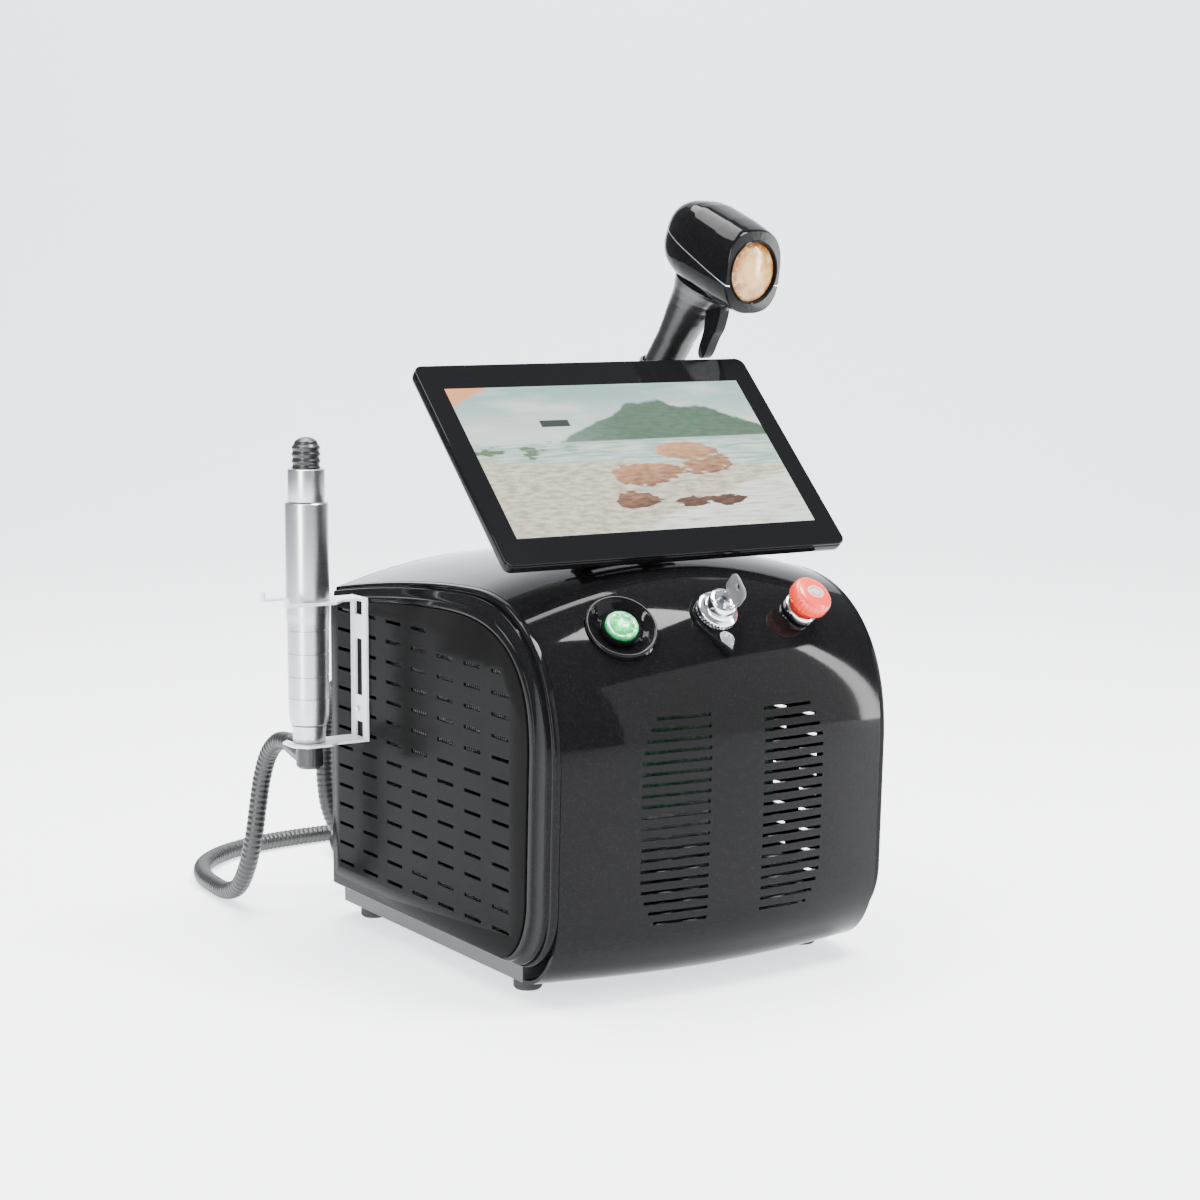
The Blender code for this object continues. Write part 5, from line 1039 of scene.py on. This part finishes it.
outer = CUP_PLAY + CUP_SHEET
cup_rows = [oval(-0.0033, outer - 0.0008), oval(-0.0026, outer), oval(CUP_TOP_LIFT - 0.0008, outer),
            oval(CUP_TOP_LIFT, outer - 0.0008), oval(CUP_TOP_LIFT, CUP_PLAY + 0.0005),
            oval(CUP_TOP_LIFT - 0.0008, CUP_PLAY), oval(-0.0003, CUP_PLAY), oval(-0.0003, 0, True),
            oval(-0.0033, 0, True)]
cup = grid_mesh("cradle_cup", moved(np.array(cup_rows), CONSOLE @ GUN), grip_black, (True, True), 30)
side_spot = GUN @ Vector((0, grip_middle(GRIP_LENGTH - 0.010) + GRIP_HALF_DEPTH + outer, GRIP_END_Z + 0.010))
sleeve_low, sleeve_high = side_spot.z - 0.016, side_spot.z + 0.008
sleeve_line = [(GUN_POST_RADIUS + 0.0003, sleeve_low), (GUN_POST_RADIUS + 0.0026, sleeve_low),
               (GUN_POST_RADIUS + 0.0030, sleeve_low + 0.0006),
               (GUN_POST_RADIUS + 0.0030, sleeve_high - 0.0012),
               (GUN_POST_RADIUS + 0.0018, sleeve_high - 0.0002), (GUN_POST_RADIUS, sleeve_high),
               (0, sleeve_high), (0, sleeve_high - 0.004), (GUN_POST_RADIUS + 0.0003, sleeve_high - 0.004)]
sleeve = grid_mesh("cradle_sleeve", turned(sleeve_line, 64, Matrix.Translation((*GUN_POST, 0))), grip_black,
                   (True, True), 30)
arm_from, arm_to = np.array(side_spot[:2]) + (0, -0.002), np.array(GUN_POST) + (0, -0.0125)
reach = (arm_to - arm_from) / np.linalg.norm(arm_to - arm_from)
arm_turn = Matrix.Translation((*((arm_from + arm_to) / 2), side_spot.z - 0.004))
ARM = arm_turn @ Matrix.Rotation(math.atan2(reach[1], reach[0]), 4, "Z")
arm_length = float(np.linalg.norm(arm_to - arm_from))
arm_section = round_box(0.0130, 0.0150, 0.003)
arm_rows = [np.column_stack([np.full(len(arm_section), x), arm_section])
            for x in (-arm_length / 2, arm_length / 2)]
arm = grid_mesh("cradle_arm", moved(np.array(arm_rows), CONSOLE @ ARM), grip_black, (False, True), 30, True)
for piece in (cup, sleeve, arm):
    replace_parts(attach(piece, "cabinet"), "gun_cradle_cup")

# ---- floor, lights and camera --------------------------------------------------------------------
# A pale plain floor that curves up behind. One large soft light hangs above and a smaller one over the
# brow, with a narrow strip on each side and a dim fill in front.


def card(name, size, place, target, strength):
    """A soft rectangular light of this size, turned towards the target."""
    lamp = bpy.data.lights.new(name, "AREA")
    lamp.shape, lamp.size, lamp.size_y = "RECTANGLE", size[0], size[1]
    lamp.energy = strength
    made = bpy.data.objects.new(name, lamp)
    bpy.context.scene.collection.objects.link(made)
    place = CONSOLE @ Vector(place)
    made.location = place
    made.rotation_euler = (CONSOLE @ Vector(target) - place).to_track_quat("-Z", "Y").to_euler()
    return made


floor_finish, floor_in, floor_start = material("studio_floor", Roughness=0.6, Emission_Strength=1.6,
                                               Emission_Color=(0.93, 0.96, 1.0, 1))
cloud = floor_start.noise(3.0, 2.0)
feed(floor_in["Base Color"], floor_start.mix(cloud, (0.80, 0.81, 0.83), (0.84, 0.85, 0.87)))
FLOOR_HALF, WALL_FROM, FLOOR_BEND = 2.6, 3.0, 1.5
bend = np.linspace(0, math.pi / 2, 24)
sweep = np.vstack([(-4.0, 0),
                   np.column_stack([WALL_FROM + FLOOR_BEND * np.sin(bend),
                                    FLOOR_BEND * (1 - np.cos(bend))]), (WALL_FROM + FLOOR_BEND, 6.0)])
wide = np.linspace(-FLOOR_HALF, FLOOR_HALF, 3)
floor_grid = np.stack([np.broadcast_to(wide, (len(sweep), 3)), np.repeat(sweep[:, :1], 3, 1),
                       np.repeat(sweep[:, 1:], 3, 1)], axis=-1)
floor = grid_mesh("studio_floor", moved(floor_grid, Matrix.Rotation(math.radians(-32), 4, "Z")),
                  floor_finish)

world = bpy.data.worlds.new("studio")
bpy.context.scene.world = world
world.use_nodes = True
world.node_tree.nodes["Background"].inputs["Color"].default_value = (0.90, 0.93, 1.0, 1)
world.node_tree.nodes["Background"].inputs["Strength"].default_value = 0.50
card("overhead", (2.2, 1.2), (-0.3, 0.4, 2.6), (0, -0.2, 0.2), 190)
card("brow_card", (0.95, 0.75), (0.78, -0.95, 2.6), (0, -0.3, 0.3), 150)
card("left_strip", (0.22, 2.0), (-2.05, -1.15, 0.9), (0, -0.2, 0.3), 80)
card("right_strip", (0.20, 1.8), (2.3, -1.6, 0.8), (0, -0.2, 0.3), 50)
card("front_fill", (2.6, 2.2), (1.7, -2.7, 0.9), (0, -0.3, 0.2), 55)

lens = bpy.data.cameras.new("front_left")
lens.lens, lens.sensor_width, lens.clip_start = 79.4, 36.0, 0.05
camera = bpy.data.objects.new("front_left", lens)
bpy.context.scene.collection.objects.link(camera)
VIEW_YAW, VIEW_PITCH, VIEW_ROLL = math.radians(31.86), math.radians(7.60), math.radians(0.146)
camera.matrix_world = (CONSOLE @ Matrix.Translation((-1.1970, -2.1141, 0.5995))
                       @ Matrix.Rotation(-VIEW_YAW, 4, "Z")
                       @ Matrix.Rotation(math.pi / 2 - VIEW_PITCH, 4, "X")
                       @ Matrix.Rotation(VIEW_ROLL, 4, "Z"))
bpy.context.scene.camera = camera
